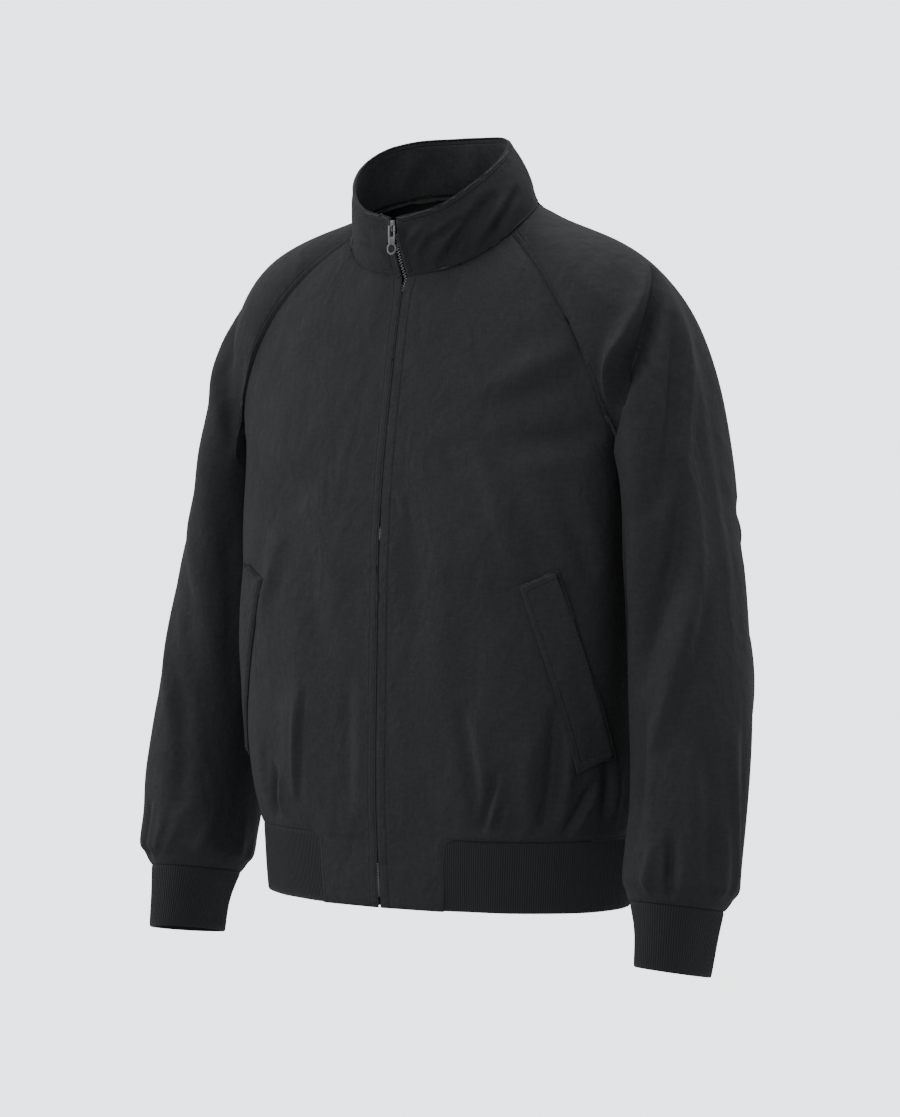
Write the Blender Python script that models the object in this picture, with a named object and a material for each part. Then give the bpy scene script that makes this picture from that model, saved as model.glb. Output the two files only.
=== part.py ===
"""Zip-front bomber jacket with raglan sleeves, filled out as if worn, with no wearer.

Metres, +Z up. The front faces -Y and the wearer's left is +X. The origin is the middle
of the neck opening, where a wearer's neck and shoulders hold the jacket.
The torso is a loft of rounded sections and each sleeve a loft of slanted sections. The
panels are grids laid on those two forms between their seams, then given a thickness.
"""
import math

import bmesh
import bpy
import numpy as np

# Driving sizes, in metres.
shell_thickness = 0.0014
rib_thickness = 0.0024
collar_thickness = 0.0020
half_seam = 0.00015
rib_top = -0.564
hem_bottom = -0.632
zip_half_slit = 0.0018
side_seam_angle = 94.0
underarm_height = -0.196
front_columns = 12
tab_columns = 4
raglan_rows = 12
tab_angle = 33.5
rib_columns = 20
rib_rows = 5
shoulder_columns = 4
sleeve_columns = 2 * raglan_rows + shoulder_columns
shoulder_loops = 11
arm_blend = 0.022
ease_rounds = 3
ease_share = 0.6
corner_reach = 0.93
corner_drop = 0.012
arm_rows = 15
tab_ease_height = 0.12
fade_loops = 4


def table(names, *rows):
    """Return a dictionary of columns from rows of numbers."""
    return {name: np.array(column, float) for name, column in zip(names, zip(*rows))}


# Torso: half width, depth in front and behind the middle, squareness of the outline,
# and how far the hanging sleeve presses the side in.
torso = table(
    ("height", "half_width", "front", "back", "squareness", "press"),
    (-0.640, 0.195, 0.109, 0.108, 2.15, 0.000),
    (-0.600, 0.198, 0.113, 0.112, 2.15, 0.000),
    (-0.564, 0.200, 0.114, 0.116, 2.20, 0.000),
    (-0.535, 0.207, 0.116, 0.122, 2.35, 0.000),
    (-0.500, 0.212, 0.116, 0.125, 2.50, 0.003),
    (-0.440, 0.216, 0.115, 0.125, 2.60, 0.009),
    (-0.370, 0.221, 0.113, 0.123, 2.60, 0.015),
    (-0.300, 0.225, 0.111, 0.121, 2.60, 0.020),
    (-0.240, 0.228, 0.106, 0.120, 2.60, 0.023),
    (-0.196, 0.229, 0.100, 0.119, 2.55, 0.022),
    (-0.150, 0.230, 0.092, 0.116, 2.40, 0.014),
    (-0.110, 0.231, 0.084, 0.111, 2.25, 0.000),
    (-0.080, 0.229, 0.077, 0.104, 2.15, 0.000),
    (-0.055, 0.221, 0.070, 0.096, 2.05, 0.000),
    (-0.030, 0.202, 0.061, 0.087, 2.00, 0.000),
    (-0.010, 0.165, 0.053, 0.079, 2.00, 0.000),
    (0.010, 0.116, 0.046, 0.073, 2.00, 0.000),
    (0.030, 0.090, 0.040, 0.068, 2.00, 0.000),
    (0.060, 0.070, 0.036, 0.060, 2.00, 0.000),
)
press_middle = 0.020
press_spread = 0.050

# Left sleeve: each section runs from an inner to an outer point in the front view.
sleeve = table(
    ("inner_x", "inner_z", "outer_x", "outer_z", "middle_y", "half_depth", "lean", "squareness"),
    (0.080, -0.120, 0.080, 0.020, 0.008, 0.050, 0.00, 2.0),
    (0.125, -0.130, 0.140, 0.004, 0.008, 0.058, 0.00, 2.0),
    (0.165, -0.145, 0.196, -0.013, 0.012, 0.066, 0.00, 2.1),
    (0.190, -0.165, 0.236, -0.040, 0.017, 0.074, 0.00, 2.1),
    (0.205, -0.181, 0.260, -0.093, 0.020, 0.081, 0.00, 2.1),
    (0.207, -0.197, 0.272, -0.160, 0.023, 0.084, 0.00, 2.1),
    (0.210, -0.240, 0.287, -0.228, 0.021, 0.084, 0.00, 2.1),
    (0.210, -0.300, 0.303, -0.300, 0.015, 0.080, 0.00, 2.1),
    (0.213, -0.370, 0.314, -0.370, 0.010, 0.075, 0.00, 2.1),
    (0.222, -0.440, 0.323, -0.440, 0.000, 0.070, -0.04, 2.1),
    (0.228, -0.500, 0.327, -0.500, -0.009, 0.067, -0.08, 2.1),
    (0.231, -0.560, 0.330, -0.560, -0.020, 0.063, -0.12, 2.1),
    (0.232, -0.598, 0.330, -0.600, -0.029, 0.059, -0.16, 2.1),
    (0.238, -0.618, 0.321, -0.620, -0.033, 0.048, -0.17, 2.1),
    (0.248, -0.648, 0.317, -0.652, -0.040, 0.043, -0.17, 2.1),
    (0.250, -0.680, 0.315, -0.684, -0.046, 0.042, -0.17, 2.1),
)
first_ring = 6.0
cuff_seam_section = 13.0
cuff_end_section = 14.9

# Raglan seams, from the underarm up to the collar: angle round the torso, height.
raglan_front = table(
    ("angle", "height"),
    (94.0, -0.196), (85.0, -0.187), (78.0, -0.170), (76.0, -0.146), (74.8, -0.122),
    (73.4, -0.096), (72.2, -0.070), (71.2, -0.046), (70.0, -0.022), (69.5, -0.005),
)
raglan_back = table(
    ("angle", "height"),
    (94.0, -0.196), (104.0, -0.178), (112.0, -0.150), (116.0, -0.120), (118.0, -0.085),
    (118.0, -0.050), (118.0, -0.010), (118.0, 0.029),
)

# Collar: its seam round the neck and its rim, by the angle round the neck.
collar = table(
    ("angle", "seam_height", "rim_height"),
    (0.0, -0.042, 0.013), (30.0, -0.034, 0.022), (60.0, -0.011, 0.045),
    (90.0, 0.015, 0.069), (120.0, 0.030, 0.086), (150.0, 0.038, 0.093),
    (180.0, 0.040, 0.094),
)
neck_half_width = 0.098
neck_half_depth = 0.0655
neck_middle = -0.004
rim_half_width = 0.079
rim_half_depth = 0.062
rim_middle = -0.026
collar_bulge = 0.003
collar_rows = 4

# Left pocket welt: its two ends, upper then lower.
welt = table(
    ("front_angle", "front_height", "side_angle", "side_height"),
    (57.3, -0.328, 65.7, -0.313),
    (71.3, -0.501, 81.0, -0.486),
)
welt_rows = 9
welt_columns = 4
welt_lift = 0.0009
welt_thickness = 0.0014

# Zip, by depth behind the line where the front edges meet.
zip_end_margin = 0.002
tape_inner = 0.0034
tape_outer = 0.0150
tape_thickness = 0.0008
chain_half_width = 0.0030
chain_foot_gap = 0.0003
chain_top_drop = 0.0035
chain_end_room = 0.002
chain_thickness = 0.0016
box_top = -0.623
box_half_width = 0.0030
box_thickness = 0.0024
body_seat = 0.0018
neck_seat = 0.0036
collar_seat = 0.0033
slider_height = 0.0055

# Slider and pull tab.
slider_length = 0.0105
slider_lift = 0.0006
plate_thickness = 0.0013
plate_half_width = 0.0036
slot_half_width = 0.0012
slot_below = 0.0015
slot_above = 0.0040
back_plate_depth = 0.0056
lug_half_width = 0.0013
lug_half_height = 0.0012
lug_foot_half_height = 0.0016
lug_reach = 0.0028
hinge_height = 0.0050
tab_length = 0.0245
tab_thickness = 0.0013
ring_radius = 0.0054
hole_radius = 0.0026
ring_sides = 16
prong_inner = 0.0016
prong_outer = 0.0033
prong_end = 0.0008
fork_height = -0.0040
neck_height = -0.0080

# Large folds: start, end, spread and depth (troughs are negative).
body_folds = table(
    ("x0", "y0", "z0", "x1", "y1", "z1", "spread", "depth"),
    (0.185, -0.060, -0.205, 0.110, -0.098, -0.215, 0.034, -0.004),
    (0.150, -0.100, -0.225, 0.110, -0.110, -0.300, 0.032, 0.003),
    (-0.185, -0.060, -0.225, -0.120, -0.098, -0.250, 0.034, -0.004),
    (-0.190, 0.070, -0.200, -0.100, 0.110, -0.235, 0.040, -0.004),
    (0.190, 0.070, -0.205, 0.095, 0.110, -0.250, 0.040, -0.004),
    (0.108, -0.106, -0.480, 0.112, -0.100, -0.545, 0.018, 0.0040),
    (0.160, -0.088, -0.485, 0.152, -0.082, -0.545, 0.018, 0.0040),
    (0.062, -0.115, -0.450, 0.055, -0.113, -0.545, 0.018, -0.0030),
    (-0.105, -0.108, -0.440, -0.118, -0.098, -0.535, 0.018, 0.0040),
    (-0.058, -0.114, -0.440, -0.052, -0.113, -0.545, 0.018, -0.0030),
    (-0.165, -0.086, -0.470, -0.160, -0.078, -0.545, 0.018, 0.0040),
    (0.150, 0.095, -0.430, 0.140, 0.088, -0.545, 0.020, 0.0040),
    (0.050, 0.122, -0.440, 0.055, 0.116, -0.545, 0.020, 0.0040),
    (-0.045, 0.122, -0.450, -0.040, 0.116, -0.545, 0.020, -0.0035),
    (-0.120, 0.108, -0.430, -0.125, 0.098, -0.545, 0.020, 0.0040),
)
sleeve_folds = table(
    ("x0", "y0", "z0", "x1", "y1", "z1", "spread", "depth"),
    (0.235, -0.044, -0.065, 0.219, -0.058, -0.165, 0.026, -0.007),
    (0.268, -0.050, -0.250, 0.243, -0.080, -0.520, 0.026, -0.005),
    (0.296, -0.045, -0.230, 0.312, -0.062, -0.520, 0.024, 0.003),
    (0.262, -0.090, -0.525, 0.264, -0.090, -0.580, 0.018, -0.0040),
    (0.318, -0.040, -0.530, 0.313, -0.040, -0.590, 0.018, 0.0040),
    (0.285, 0.052, -0.480, 0.280, 0.036, -0.585, 0.018, 0.0040),
    (0.300, 0.075, -0.260, 0.262, 0.085, -0.400, 0.030, -0.0040),
)


def spline(at, places, values):
    """Smooth curve through a table's values (cubic, with shape-keeping slopes)."""
    steps = np.diff(places)
    rates = np.diff(values) / steps
    slopes = np.empty_like(values)
    slopes[0], slopes[-1] = rates[0], rates[-1]
    same = rates[:-1] * rates[1:] > 0
    mean = 2 * rates[:-1] * rates[1:] / np.where(same, rates[:-1] + rates[1:], 1)
    slopes[1:-1] = np.where(same, mean, 0)
    at = np.clip(at, places[0], places[-1])
    k = np.clip(np.searchsorted(places, at) - 1, 0, len(places) - 2)
    t = (at - places[k]) / steps[k]
    rise = (3 * t**2 - 2 * t**3) * (values[k + 1] - values[k])
    lean = steps[k] * ((t - 2 * t**2 + t**3) * slopes[k] + (t**3 - t**2) * slopes[k + 1])
    return values[k] + rise + lean


def column(rows, name, at):
    """Read one column of a table at the given heights or angles."""
    key = "height" if "half_width" in rows else "angle"
    return spline(at, rows[key], rows[name])


def torso_level(p):
    """Zero on the torso's form, negative inside."""
    x, y, z = p.T
    press = column(torso, "press", z) * np.exp(-((y - press_middle) / press_spread) ** 2)
    wide = column(torso, "half_width", z) - press
    deep = np.where(y < 0, column(torso, "front", z), column(torso, "back", z))
    power = column(torso, "squareness", z)
    return (np.abs(x / wide) ** power + np.abs(y / deep) ** power) ** (1 / power) - 1


section_count = 121
section_step = np.linspace(0, len(sleeve["inner_x"]) - 1, section_count)
section = {name: spline(section_step, np.arange(len(rows), dtype=float), rows)
           for name, rows in sleeve.items()}


def sleeve_level(p):
    """Zero on the left sleeve's form, negative inside. Works for either side."""
    x, y, z = np.abs(p[:, 0]), p[:, 1], p[:, 2]
    across_x = section["outer_x"] - section["inner_x"]
    across_z = section["outer_z"] - section["inner_z"]
    size = np.hypot(across_x, across_z)
    # Signed distance to each section's plane; the sections fan round the underarm.
    off = ((x[:, None] - section["inner_x"]) * across_z
           - (z[:, None] - section["inner_z"]) * across_x) / size
    near = np.argmax(off < 0, axis=1)
    near = np.where(off[:, -1] >= 0, section_count - 1, np.maximum(near, 1))
    rows = np.arange(len(x))
    before, after = off[rows, near - 1], off[rows, near]
    share = np.clip(before / np.where(before == after, 1, before - after), 0, 1)

    def pick(values):
        return values[near - 1] * (1 - share) + values[near] * share

    inner_x, inner_z = pick(section["inner_x"]), pick(section["inner_z"])
    wide_x, wide_z = pick(across_x) / 2, pick(across_z) / 2
    half = np.hypot(wide_x, wide_z)
    across = ((x - inner_x - wide_x) * wide_x + (z - inner_z - wide_z) * wide_z) / half
    power = pick(section["squareness"])
    deep = pick(section["half_depth"])
    return (np.abs(across / half) ** power
            + np.abs((y - pick(section["middle_y"])) / deep) ** power) ** (1 / power) - 1


def slope(level, p):
    """Gradient of a level function, by central differences."""
    step = 0.0004
    out = np.empty_like(p)
    for axis in range(3):
        move = np.zeros(3)
        move[axis] = step
        out[:, axis] = (level(p + move) - level(p - move)) / (2 * step)
    return out


def torso_distance(p):
    grad = slope(torso_level, p)
    return torso_level(p) / np.maximum(np.linalg.norm(grad, axis=1), 1e-6)


def sleeve_distance(p):
    grad = slope(sleeve_level, p)
    return sleeve_level(p) / np.maximum(np.linalg.norm(grad, axis=1), 1e-6)


def shoulder_distance(p):
    """Torso and sleeve run into each other smoothly over the shoulder."""
    a, b = torso_distance(p), sleeve_distance(p)
    mix = np.maximum(arm_blend - np.abs(a - b), 0) / arm_blend
    return np.minimum(a, b) - mix * mix * arm_blend / 4


def settle(distance, p, rounds=14, reach=0.02):
    """Move points along the slope until they lie on a form."""
    for _ in range(rounds):
        grad = slope(distance, p)
        size = np.maximum((grad * grad).sum(axis=1), 0.05)
        move = distance(p) / size
        p = p - np.clip(move, -reach, reach)[:, None] * grad
    return p


def outward(distance, p):
    grad = slope(distance, p)
    return grad / np.linalg.norm(grad, axis=1)[:, None]


def fold_depth(folds, p):
    """Sum of all folds at the points: soft troughs and ridges along short lines."""
    total = np.zeros(len(p))
    for k in range(len(folds["x0"])):
        start = np.array([folds[n][k] for n in ("x0", "y0", "z0")])
        end = np.array([folds[n][k] for n in ("x1", "y1", "z1")])
        along = end - start
        t = np.clip((p - start) @ along / (along @ along), 0, 1)
        gap = np.linalg.norm(p - start - t[:, None] * along, axis=1)
        total += folds["depth"][k] * np.exp(-(gap / folds["spread"][k]) ** 2)
    return total


def torso_point(angle, height):
    """Points on the torso at angles from the front (degrees) and heights."""
    turn = np.radians(angle)
    step = np.stack([np.sin(turn), -np.cos(turn), np.zeros_like(turn)], axis=1)
    low, high = np.full_like(turn, 0.01), np.full_like(turn, 0.40)
    for _ in range(40):
        middle = (low + high) / 2
        inside = torso_level(step * middle[:, None] + np.outer(height, [0, 0, 1])) < 0
        low, high = np.where(inside, middle, low), np.where(inside, high, middle)
    return step * low[:, None] + np.outer(height, [0, 0, 1])


def neck_point(angle):
    turn = np.radians(angle)
    return np.stack([neck_half_width * np.sin(turn),
                     neck_middle - neck_half_depth * np.cos(turn),
                     column(collar, "seam_height", np.minimum(angle, 360 - angle))], axis=1)


def raglan_point(rows):
    """Points along a raglan seam, evenly spaced, from the underarm to the neck."""
    fine = np.linspace(0, 1, 200)
    places = np.linspace(0, 1, len(rows["angle"]))
    angle = spline(fine, places, rows["angle"])
    height = spline(fine, places, rows["height"])
    path = torso_point(angle, height)
    path = path + np.outer(fine**4, neck_point(angle[-1:])[0] - path[-1])
    length = np.concatenate([[0], np.cumsum(np.linalg.norm(np.diff(path, axis=0), axis=1))])
    even = np.linspace(0, length[-1], raglan_rows + 1)
    return np.stack([np.interp(even, length, path[:, axis]) for axis in range(3)], axis=1)


# --- build ---
def material(name, colour, roughness, metallic=0.0):
    made = bpy.data.materials.new(name)
    made.use_nodes = True
    shader = made.node_tree.nodes["Principled BSDF"]
    shader.inputs["Base Color"].default_value = (*colour, 1)
    shader.inputs["Roughness"].default_value = roughness
    shader.inputs["Metallic"].default_value = metallic
    return made


def add_object(name, vertices, faces, finish, smooth=True):
    """Make one closed mesh object with its own material."""
    mesh = bpy.data.meshes.new(name)
    mesh.from_pydata([tuple(v) for v in vertices], [], faces)
    work = bmesh.new()
    work.from_mesh(mesh)
    bmesh.ops.recalc_face_normals(work, faces=work.faces)
    if work.calc_volume(signed=True) < 0:
        bmesh.ops.reverse_faces(work, faces=work.faces)
    work.to_mesh(mesh)
    work.free()
    if smooth:
        mesh.shade_smooth()
        mesh.set_sharp_from_angle(angle=math.radians(50))
    mesh.materials.append(material(name, *finish))
    made = bpy.data.objects.new(name, mesh)
    bpy.context.scene.collection.objects.link(made)
    return made


def grid_faces(rows, columns, closed=False, keep=None):
    """Quads of a grid of points; closed joins the last column to the first."""
    faces = []
    for row in range(rows - 1):
        for col in range(columns if closed else columns - 1):
            if keep is None or keep(row, col):
                nxt = (col + 1) % columns
                faces.append((row * columns + col, row * columns + nxt,
                              (row + 1) * columns + nxt, (row + 1) * columns + col))
    return faces


def edge_of(faces):
    """Directed border edges of a sheet of faces."""
    edges = {}
    for face in faces:
        for a, b in zip(face, face[1:] + face[:1]):
            edges[(a, b)] = face
    return [(a, b, face) for (a, b), face in edges.items() if (b, a) not in edges]


def wall(name, points, normals, faces, thickness, finish, seam=half_seam):
    """Thicken a sheet inwards and pull its border back by half a seam."""
    border = edge_of(faces)
    shift = np.zeros_like(points)
    for a, b, face in border:
        run = points[b] - points[a]
        middle = points[list(face)].mean(axis=0) - points[a]
        middle = middle - run * (middle @ run) / (run @ run)
        inward = middle / np.linalg.norm(middle) * seam
        shift[a] += inward
        shift[b] += inward
    count = len(points)
    outer = points + shift
    inner = outer - normals * thickness
    halves = []
    for a, b, c, d in faces:
        if np.linalg.norm(points[a] - points[c]) < np.linalg.norm(points[b] - points[d]):
            halves += [(a, b, c), (a, c, d)]
        else:
            halves += [(a, b, d), (b, c, d)]
    solid = halves + [tuple(count + v for v in reversed(half)) for half in halves]
    solid += [(b, a, count + a, count + b) for a, b, _ in border]
    used = sorted({v for face in solid for v in face})
    place = {v: k for k, v in enumerate(used)}
    both = np.concatenate([outer, inner])
    return add_object(name, both[used], [tuple(place[v] for v in f) for f in solid], finish)


def mirrored(points):
    return points * np.array([-1.0, 1.0, 1.0])


shell_finish = ((0.018, 0.018, 0.020), 0.62)
rib_finish = ((0.014, 0.014, 0.016), 0.85)
zip_finish = ((0.012, 0.012, 0.013), 0.60)
metal_finish = ((0.42, 0.42, 0.44), 0.32, 0.9)

# Heights of the panel rows below the underarm, from the hem up.
tab_heights = [hem_bottom, -0.610, -0.587, rib_top]
body_heights = [-0.551, -0.536, -0.518, -0.496, -0.472, -0.446, -0.420, -0.394, -0.368,
                -0.342, -0.316, -0.292, -0.268, -0.244, -0.220, underarm_height]
front_raglan = raglan_point(raglan_front)
back_raglan = raglan_point(raglan_back)
tab_rows = len(tab_heights) - 1


def angle_of(points):
    return np.degrees(np.arctan2(points[:, 0], -points[:, 1])) % 360


def angle_at_neck(points):
    """Angle round the neck's own ellipse, whose halves differ in width and depth."""
    return np.degrees(np.arctan2(points[:, 0] / neck_half_width,
                                 (neck_middle - points[:, 1]) / neck_half_depth)) % 360


def half_panel(middle_angle, side_path, middle_heights, columns, tab_angle=None):
    """Grid of torso points from the middle line to the side seam and raglan seam."""
    rows = []
    side_angles = angle_of(side_path)
    top = len(middle_heights) - 1
    first_raglan = len(middle_heights) - raglan_rows - 1
    for row, height in enumerate(middle_heights):
        share = np.linspace(0, 1, columns + 1)
        high = max(0.0, (row - first_raglan) / raglan_rows)
        if tab_angle is not None:
            # The tab's columns stay straight up to the rib, then ease to even spacing.
            ease = max(0.0, 1 - max(0.0, height - rib_top) / tab_ease_height)
            tab_share = tab_angle / side_seam_angle
            bent = np.interp(share, [0, tab_columns / columns, 1], [0, tab_share, 1])
            share = share * (1 - ease) + bent * ease
        reach = side_seam_angle - middle_angle
        cut = 1 - (side_angles[row] - middle_angle) / reach
        angle = middle_angle + reach * share * (1 - cut * share**2)
        neck_height = column(collar, "seam_height", np.minimum(angle, 180))
        line = height + (side_path[row, 2] - height) * share**1.6
        if high > 0:
            start, end = neck_height[0], neck_height[-1]
            shape = (neck_height - start) / (end - start)
            rise = height + (side_path[row, 2] - height) * shape
            line = line * (1 - high) + rise * high
        points = torso_point(angle, line)
        points[-1] = side_path[row]
        rows.append(points)
    grid = np.array(rows)
    # The last rows ease onto the seam round the neck.
    neck_end = angle_at_neck(side_path[-1:])[0]
    neck = neck_point(middle_angle + (neck_end - middle_angle) * np.linspace(0, 1, columns + 1))
    gap = neck - grid[top]
    gap[-1] = 0
    for row in range(first_raglan, top + 1):
        grid[row] += gap * ((row - first_raglan) / raglan_rows) ** 3
    return grid


def torso_sheet(name, grid, keep=None):
    """Fold a grid of torso points and give it the shell's thickness."""
    rows, columns = grid.shape[:2]
    flat = grid.reshape(-1, 3)
    normals = outward(torso_level, flat)
    flat = flat + normals * fold_depth(body_folds, flat)[:, None]
    faces = grid_faces(rows, columns, keep=keep)
    return wall(name, flat, normals, faces, shell_thickness, shell_finish)


def build_body():
    side_heights = tab_heights + body_heights
    side = torso_point(np.full(len(side_heights), side_seam_angle), np.array(side_heights))
    front_side = np.concatenate([side, front_raglan[1:]])
    back_side = np.concatenate([side[tab_rows:], back_raglan[1:]])
    rise = np.linspace(0, 1, raglan_rows + 1)[1:]
    front_rise = underarm_height + (collar["seam_height"][0] - underarm_height) * rise
    back_rise = underarm_height + (collar["seam_height"][-1] - underarm_height) * rise
    front = half_panel(0, front_side, side_heights + list(front_rise), front_columns, tab_angle)
    front[:, 0, 0] = zip_half_slit
    back_heights = side_heights[tab_rows:] + list(back_rise)
    back_half = half_panel(180, back_side, back_heights, front_columns)

    def above_rib_or_tab(row, col):
        return row >= tab_rows or col < tab_columns

    torso_sheet("front_left", front[:, ::-1],
                lambda row, col: above_rib_or_tab(row, front_columns - 1 - col))
    torso_sheet("front_right", mirrored(front), above_rib_or_tab)
    far_half = mirrored(back_half)[:, ::-1]
    torso_sheet("back", np.concatenate([far_half, back_half[:, 1:]], axis=1))
    return front, back_half


def sleeve_ring(step, columns):
    """Ring of points on the left sleeve at a place along its sections."""
    at = np.array([step])
    values = {name: spline(at, np.arange(len(rows), dtype=float), rows)[0]
              for name, rows in sleeve.items()}
    turn = 2 * math.pi * np.arange(columns) / columns
    cosine, sine = np.cos(turn), np.sin(turn)
    across = -np.sign(cosine) * np.abs(cosine) ** (2 / values["squareness"])
    along = -np.sign(sine) * np.abs(sine) ** (2 / values["squareness"])
    middle_x = (values["inner_x"] + values["outer_x"]) / 2
    middle_z = (values["inner_z"] + values["outer_z"]) / 2
    depth = along * values["half_depth"]
    return np.stack([middle_x + across * (values["outer_x"] - values["inner_x"]) / 2,
                     values["middle_y"] + depth,
                     middle_z + across * (values["outer_z"] - values["inner_z"]) / 2
                     + values["lean"] * depth], axis=1)


def sleeve_loops():
    """Left sleeve: loops from the raglan and neck seams over the shoulder to the cuff."""
    neck_angles = np.linspace(angle_of(front_raglan[-1:])[0], angle_of(back_raglan[-1:])[0],
                              shoulder_columns + 1)
    neck = neck_point(neck_angles)
    neck[0], neck[-1] = front_raglan[-1], back_raglan[-1]
    start = np.concatenate([front_raglan, neck[1:], back_raglan[-2:0:-1]])
    ring = sleeve_ring(first_ring, sleeve_columns)
    turn = 2 * math.pi * np.arange(sleeve_columns) / sleeve_columns
    top = np.sin(turn / 2)[:, None] ** 2
    corner = np.stack([ring[:, 0] * corner_reach, (start[:, 1] + ring[:, 1]) / 2,
                       start[:, 2] - corner_drop], axis=1)
    bend = corner * top + (start + ring) / 2 * (1 - top)
    loops = [start]
    normals = [outward(torso_distance, start)]
    for step in range(1, shoulder_loops):
        t = step / shoulder_loops
        loop = start * (1 - t) ** 2 + bend * 2 * t * (1 - t) + ring * t**2
        loop = settle(shoulder_distance, loop)
        loops.append(loop)
        normals.append(outward(shoulder_distance, loop))
    for step in arm_steps:
        loop = sleeve_ring(step, sleeve_columns)
        loops.append(loop)
        normals.append(outward(sleeve_distance, loop))
    loops, normals = np.array(loops), np.array(normals)
    # Ease the loops between the seam and the arm, where the two forms meet.
    last = shoulder_loops + 2
    for _ in range(ease_rounds):
        for values in (loops, normals):
            round_ring = (np.roll(values, 1, axis=1) + np.roll(values, -1, axis=1)) / 2
            along_arm = (values[:-2] + values[2:]) / 2
            mean = (round_ring[1:-1] + along_arm) / 2
            values[1:last] += (mean[: last - 1] - values[1:last]) * ease_share
    return loops, normals / np.linalg.norm(normals, axis=2)[:, :, None]


def build_sleeves():
    grid, normals = sleeve_loops()
    rows, columns = grid.shape[:2]
    faces = grid_faces(rows, columns, closed=True)
    flat, out = grid.reshape(-1, 3), normals.reshape(-1, 3)
    # Folds fade in below the raglan seam and stop at the cuff.
    fade = np.clip((np.arange(rows) - 1) / fade_loops, 0, 1)
    fade[-1] = 0
    flat = flat + out * (fold_depth(sleeve_folds, flat) * np.repeat(fade, columns))[:, None]
    wall("sleeve_left", flat, out, faces, shell_thickness, shell_finish)
    wall("sleeve_right", mirrored(flat), mirrored(out), faces, shell_thickness, shell_finish)


def sheet_normals(grid):
    """Unit normals of a grid of points, from its rows and columns."""
    along = np.gradient(grid, axis=1)
    down = np.gradient(grid, axis=0)
    out = np.cross(along, down)
    return out / np.linalg.norm(out, axis=2)[:, :, None]


def build_collar(front, back_half):
    """Stand collar, open at the zip, with its columns at the panels' own points."""
    front_angles = angle_at_neck(front[-1])
    back_angles = angle_at_neck(back_half[-1])[::-1]
    between = np.linspace(front_angles[-1], back_angles[0], shoulder_columns + 1)
    half = np.concatenate([front_angles, between[1:-1], back_angles])
    turn = np.radians(half)
    base = neck_point(half)
    base[0] = front[-1, 0]
    rim = np.stack([rim_half_width * np.sin(turn), rim_middle - rim_half_depth * np.cos(turn),
                    column(collar, "rim_height", half)], axis=1)
    rim[0, 0] = zip_half_slit
    away = np.stack([np.sin(turn), -np.cos(turn), np.zeros_like(turn)], axis=1)
    away[0] = (0, -1, 0)
    rows = []
    for row in range(collar_rows + 1):
        t = row / collar_rows
        bulge = 4 * t * (1 - t) * collar_bulge
        rows.append(base * (1 - t) + rim * t + away * bulge)
    near = np.array(rows)
    grid = np.concatenate([near, mirrored(near)[:, -2::-1]], axis=1)
    flat = grid.reshape(-1, 3)
    normals = sheet_normals(grid).reshape(-1, 3)
    centre = np.array([0, -0.012, 0.02])
    if ((flat - centre) * normals).sum() < 0:
        normals = -normals
    faces = grid_faces(*grid.shape[:2])
    wall("collar", flat, normals, faces, collar_thickness, shell_finish)
    return near


def build_hem_rib():
    """Ribbed band, from the left tab round the back to the right tab."""
    half = np.linspace(tab_angle, 180, rib_columns)
    angles = np.concatenate([half, 360 - half[-2::-1]])
    heights = np.linspace(hem_bottom, rib_top, rib_rows)
    flat = np.concatenate([torso_point(angles, np.full_like(angles, h)) for h in heights])
    normals = outward(torso_level, flat)
    faces = grid_faces(len(heights), len(angles))
    wall("hem_rib", flat, normals, faces, rib_thickness, rib_finish)


def build_cuffs():
    steps = np.linspace(cuff_seam_section, cuff_end_section, rib_rows)
    rings = np.array([sleeve_ring(step, sleeve_columns) for step in steps])
    flat = rings.reshape(-1, 3)
    normals = outward(sleeve_distance, flat)
    faces = grid_faces(*rings.shape[:2], closed=True)
    wall("cuff_left", flat, normals, faces, rib_thickness, rib_finish)
    wall("cuff_right", mirrored(flat), mirrored(normals), faces, rib_thickness, rib_finish)


def build_welts():
    """Slanted pocket welts, made from the front panels' points moved out."""
    rows = []
    for t in np.linspace(0, 1, welt_rows):
        edge = np.linspace(0, 1, welt_columns)
        angle = (welt["front_angle"][0] * (1 - t) + welt["front_angle"][1] * t) * (1 - edge)
        angle = angle + (welt["side_angle"][0] * (1 - t) + welt["side_angle"][1] * t) * edge
        height = (welt["front_height"][0] * (1 - t) + welt["front_height"][1] * t) * (1 - edge)
        height = height + (welt["side_height"][0] * (1 - t) + welt["side_height"][1] * t) * edge
        rows.append(torso_point(angle, height))
    grid = np.array(rows)
    flat = grid.reshape(-1, 3)
    normals = outward(torso_level, flat)
    flat = flat + normals * (fold_depth(body_folds, flat)[:, None] + welt_lift + welt_thickness)
    faces = grid_faces(*grid.shape[:2])
    wall("pocket_welt_left", flat, normals, faces, welt_thickness, shell_finish)
    wall("pocket_welt_right", mirrored(flat), mirrored(normals), faces, welt_thickness,
         shell_finish)


def strip(name, path, edges, thickness, finish):
    """Strip along the zip, between two edges (x, and how far the cloth falls back there)."""
    count = len(path)
    corners = []
    for depth in (0, thickness):
        for x, fall in edges:
            corner = path.copy()
            corner[:, 0] = x
            corner[:, 1] += depth + fall
            corners.append(corner)
    faces = []
    for k in range(count - 1):
        for a, b in ((0, 1), (1, 3), (3, 2), (2, 0)):
            faces.append((a * count + k, b * count + k, b * count + k + 1, a * count + k + 1))
    faces.append((0, 2 * count, 3 * count, count))
    faces.append((count - 1, 2 * count - 1, 4 * count - 1, 3 * count - 1))
    return add_object(name, np.concatenate(corners), faces, finish, smooth=False)


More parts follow.
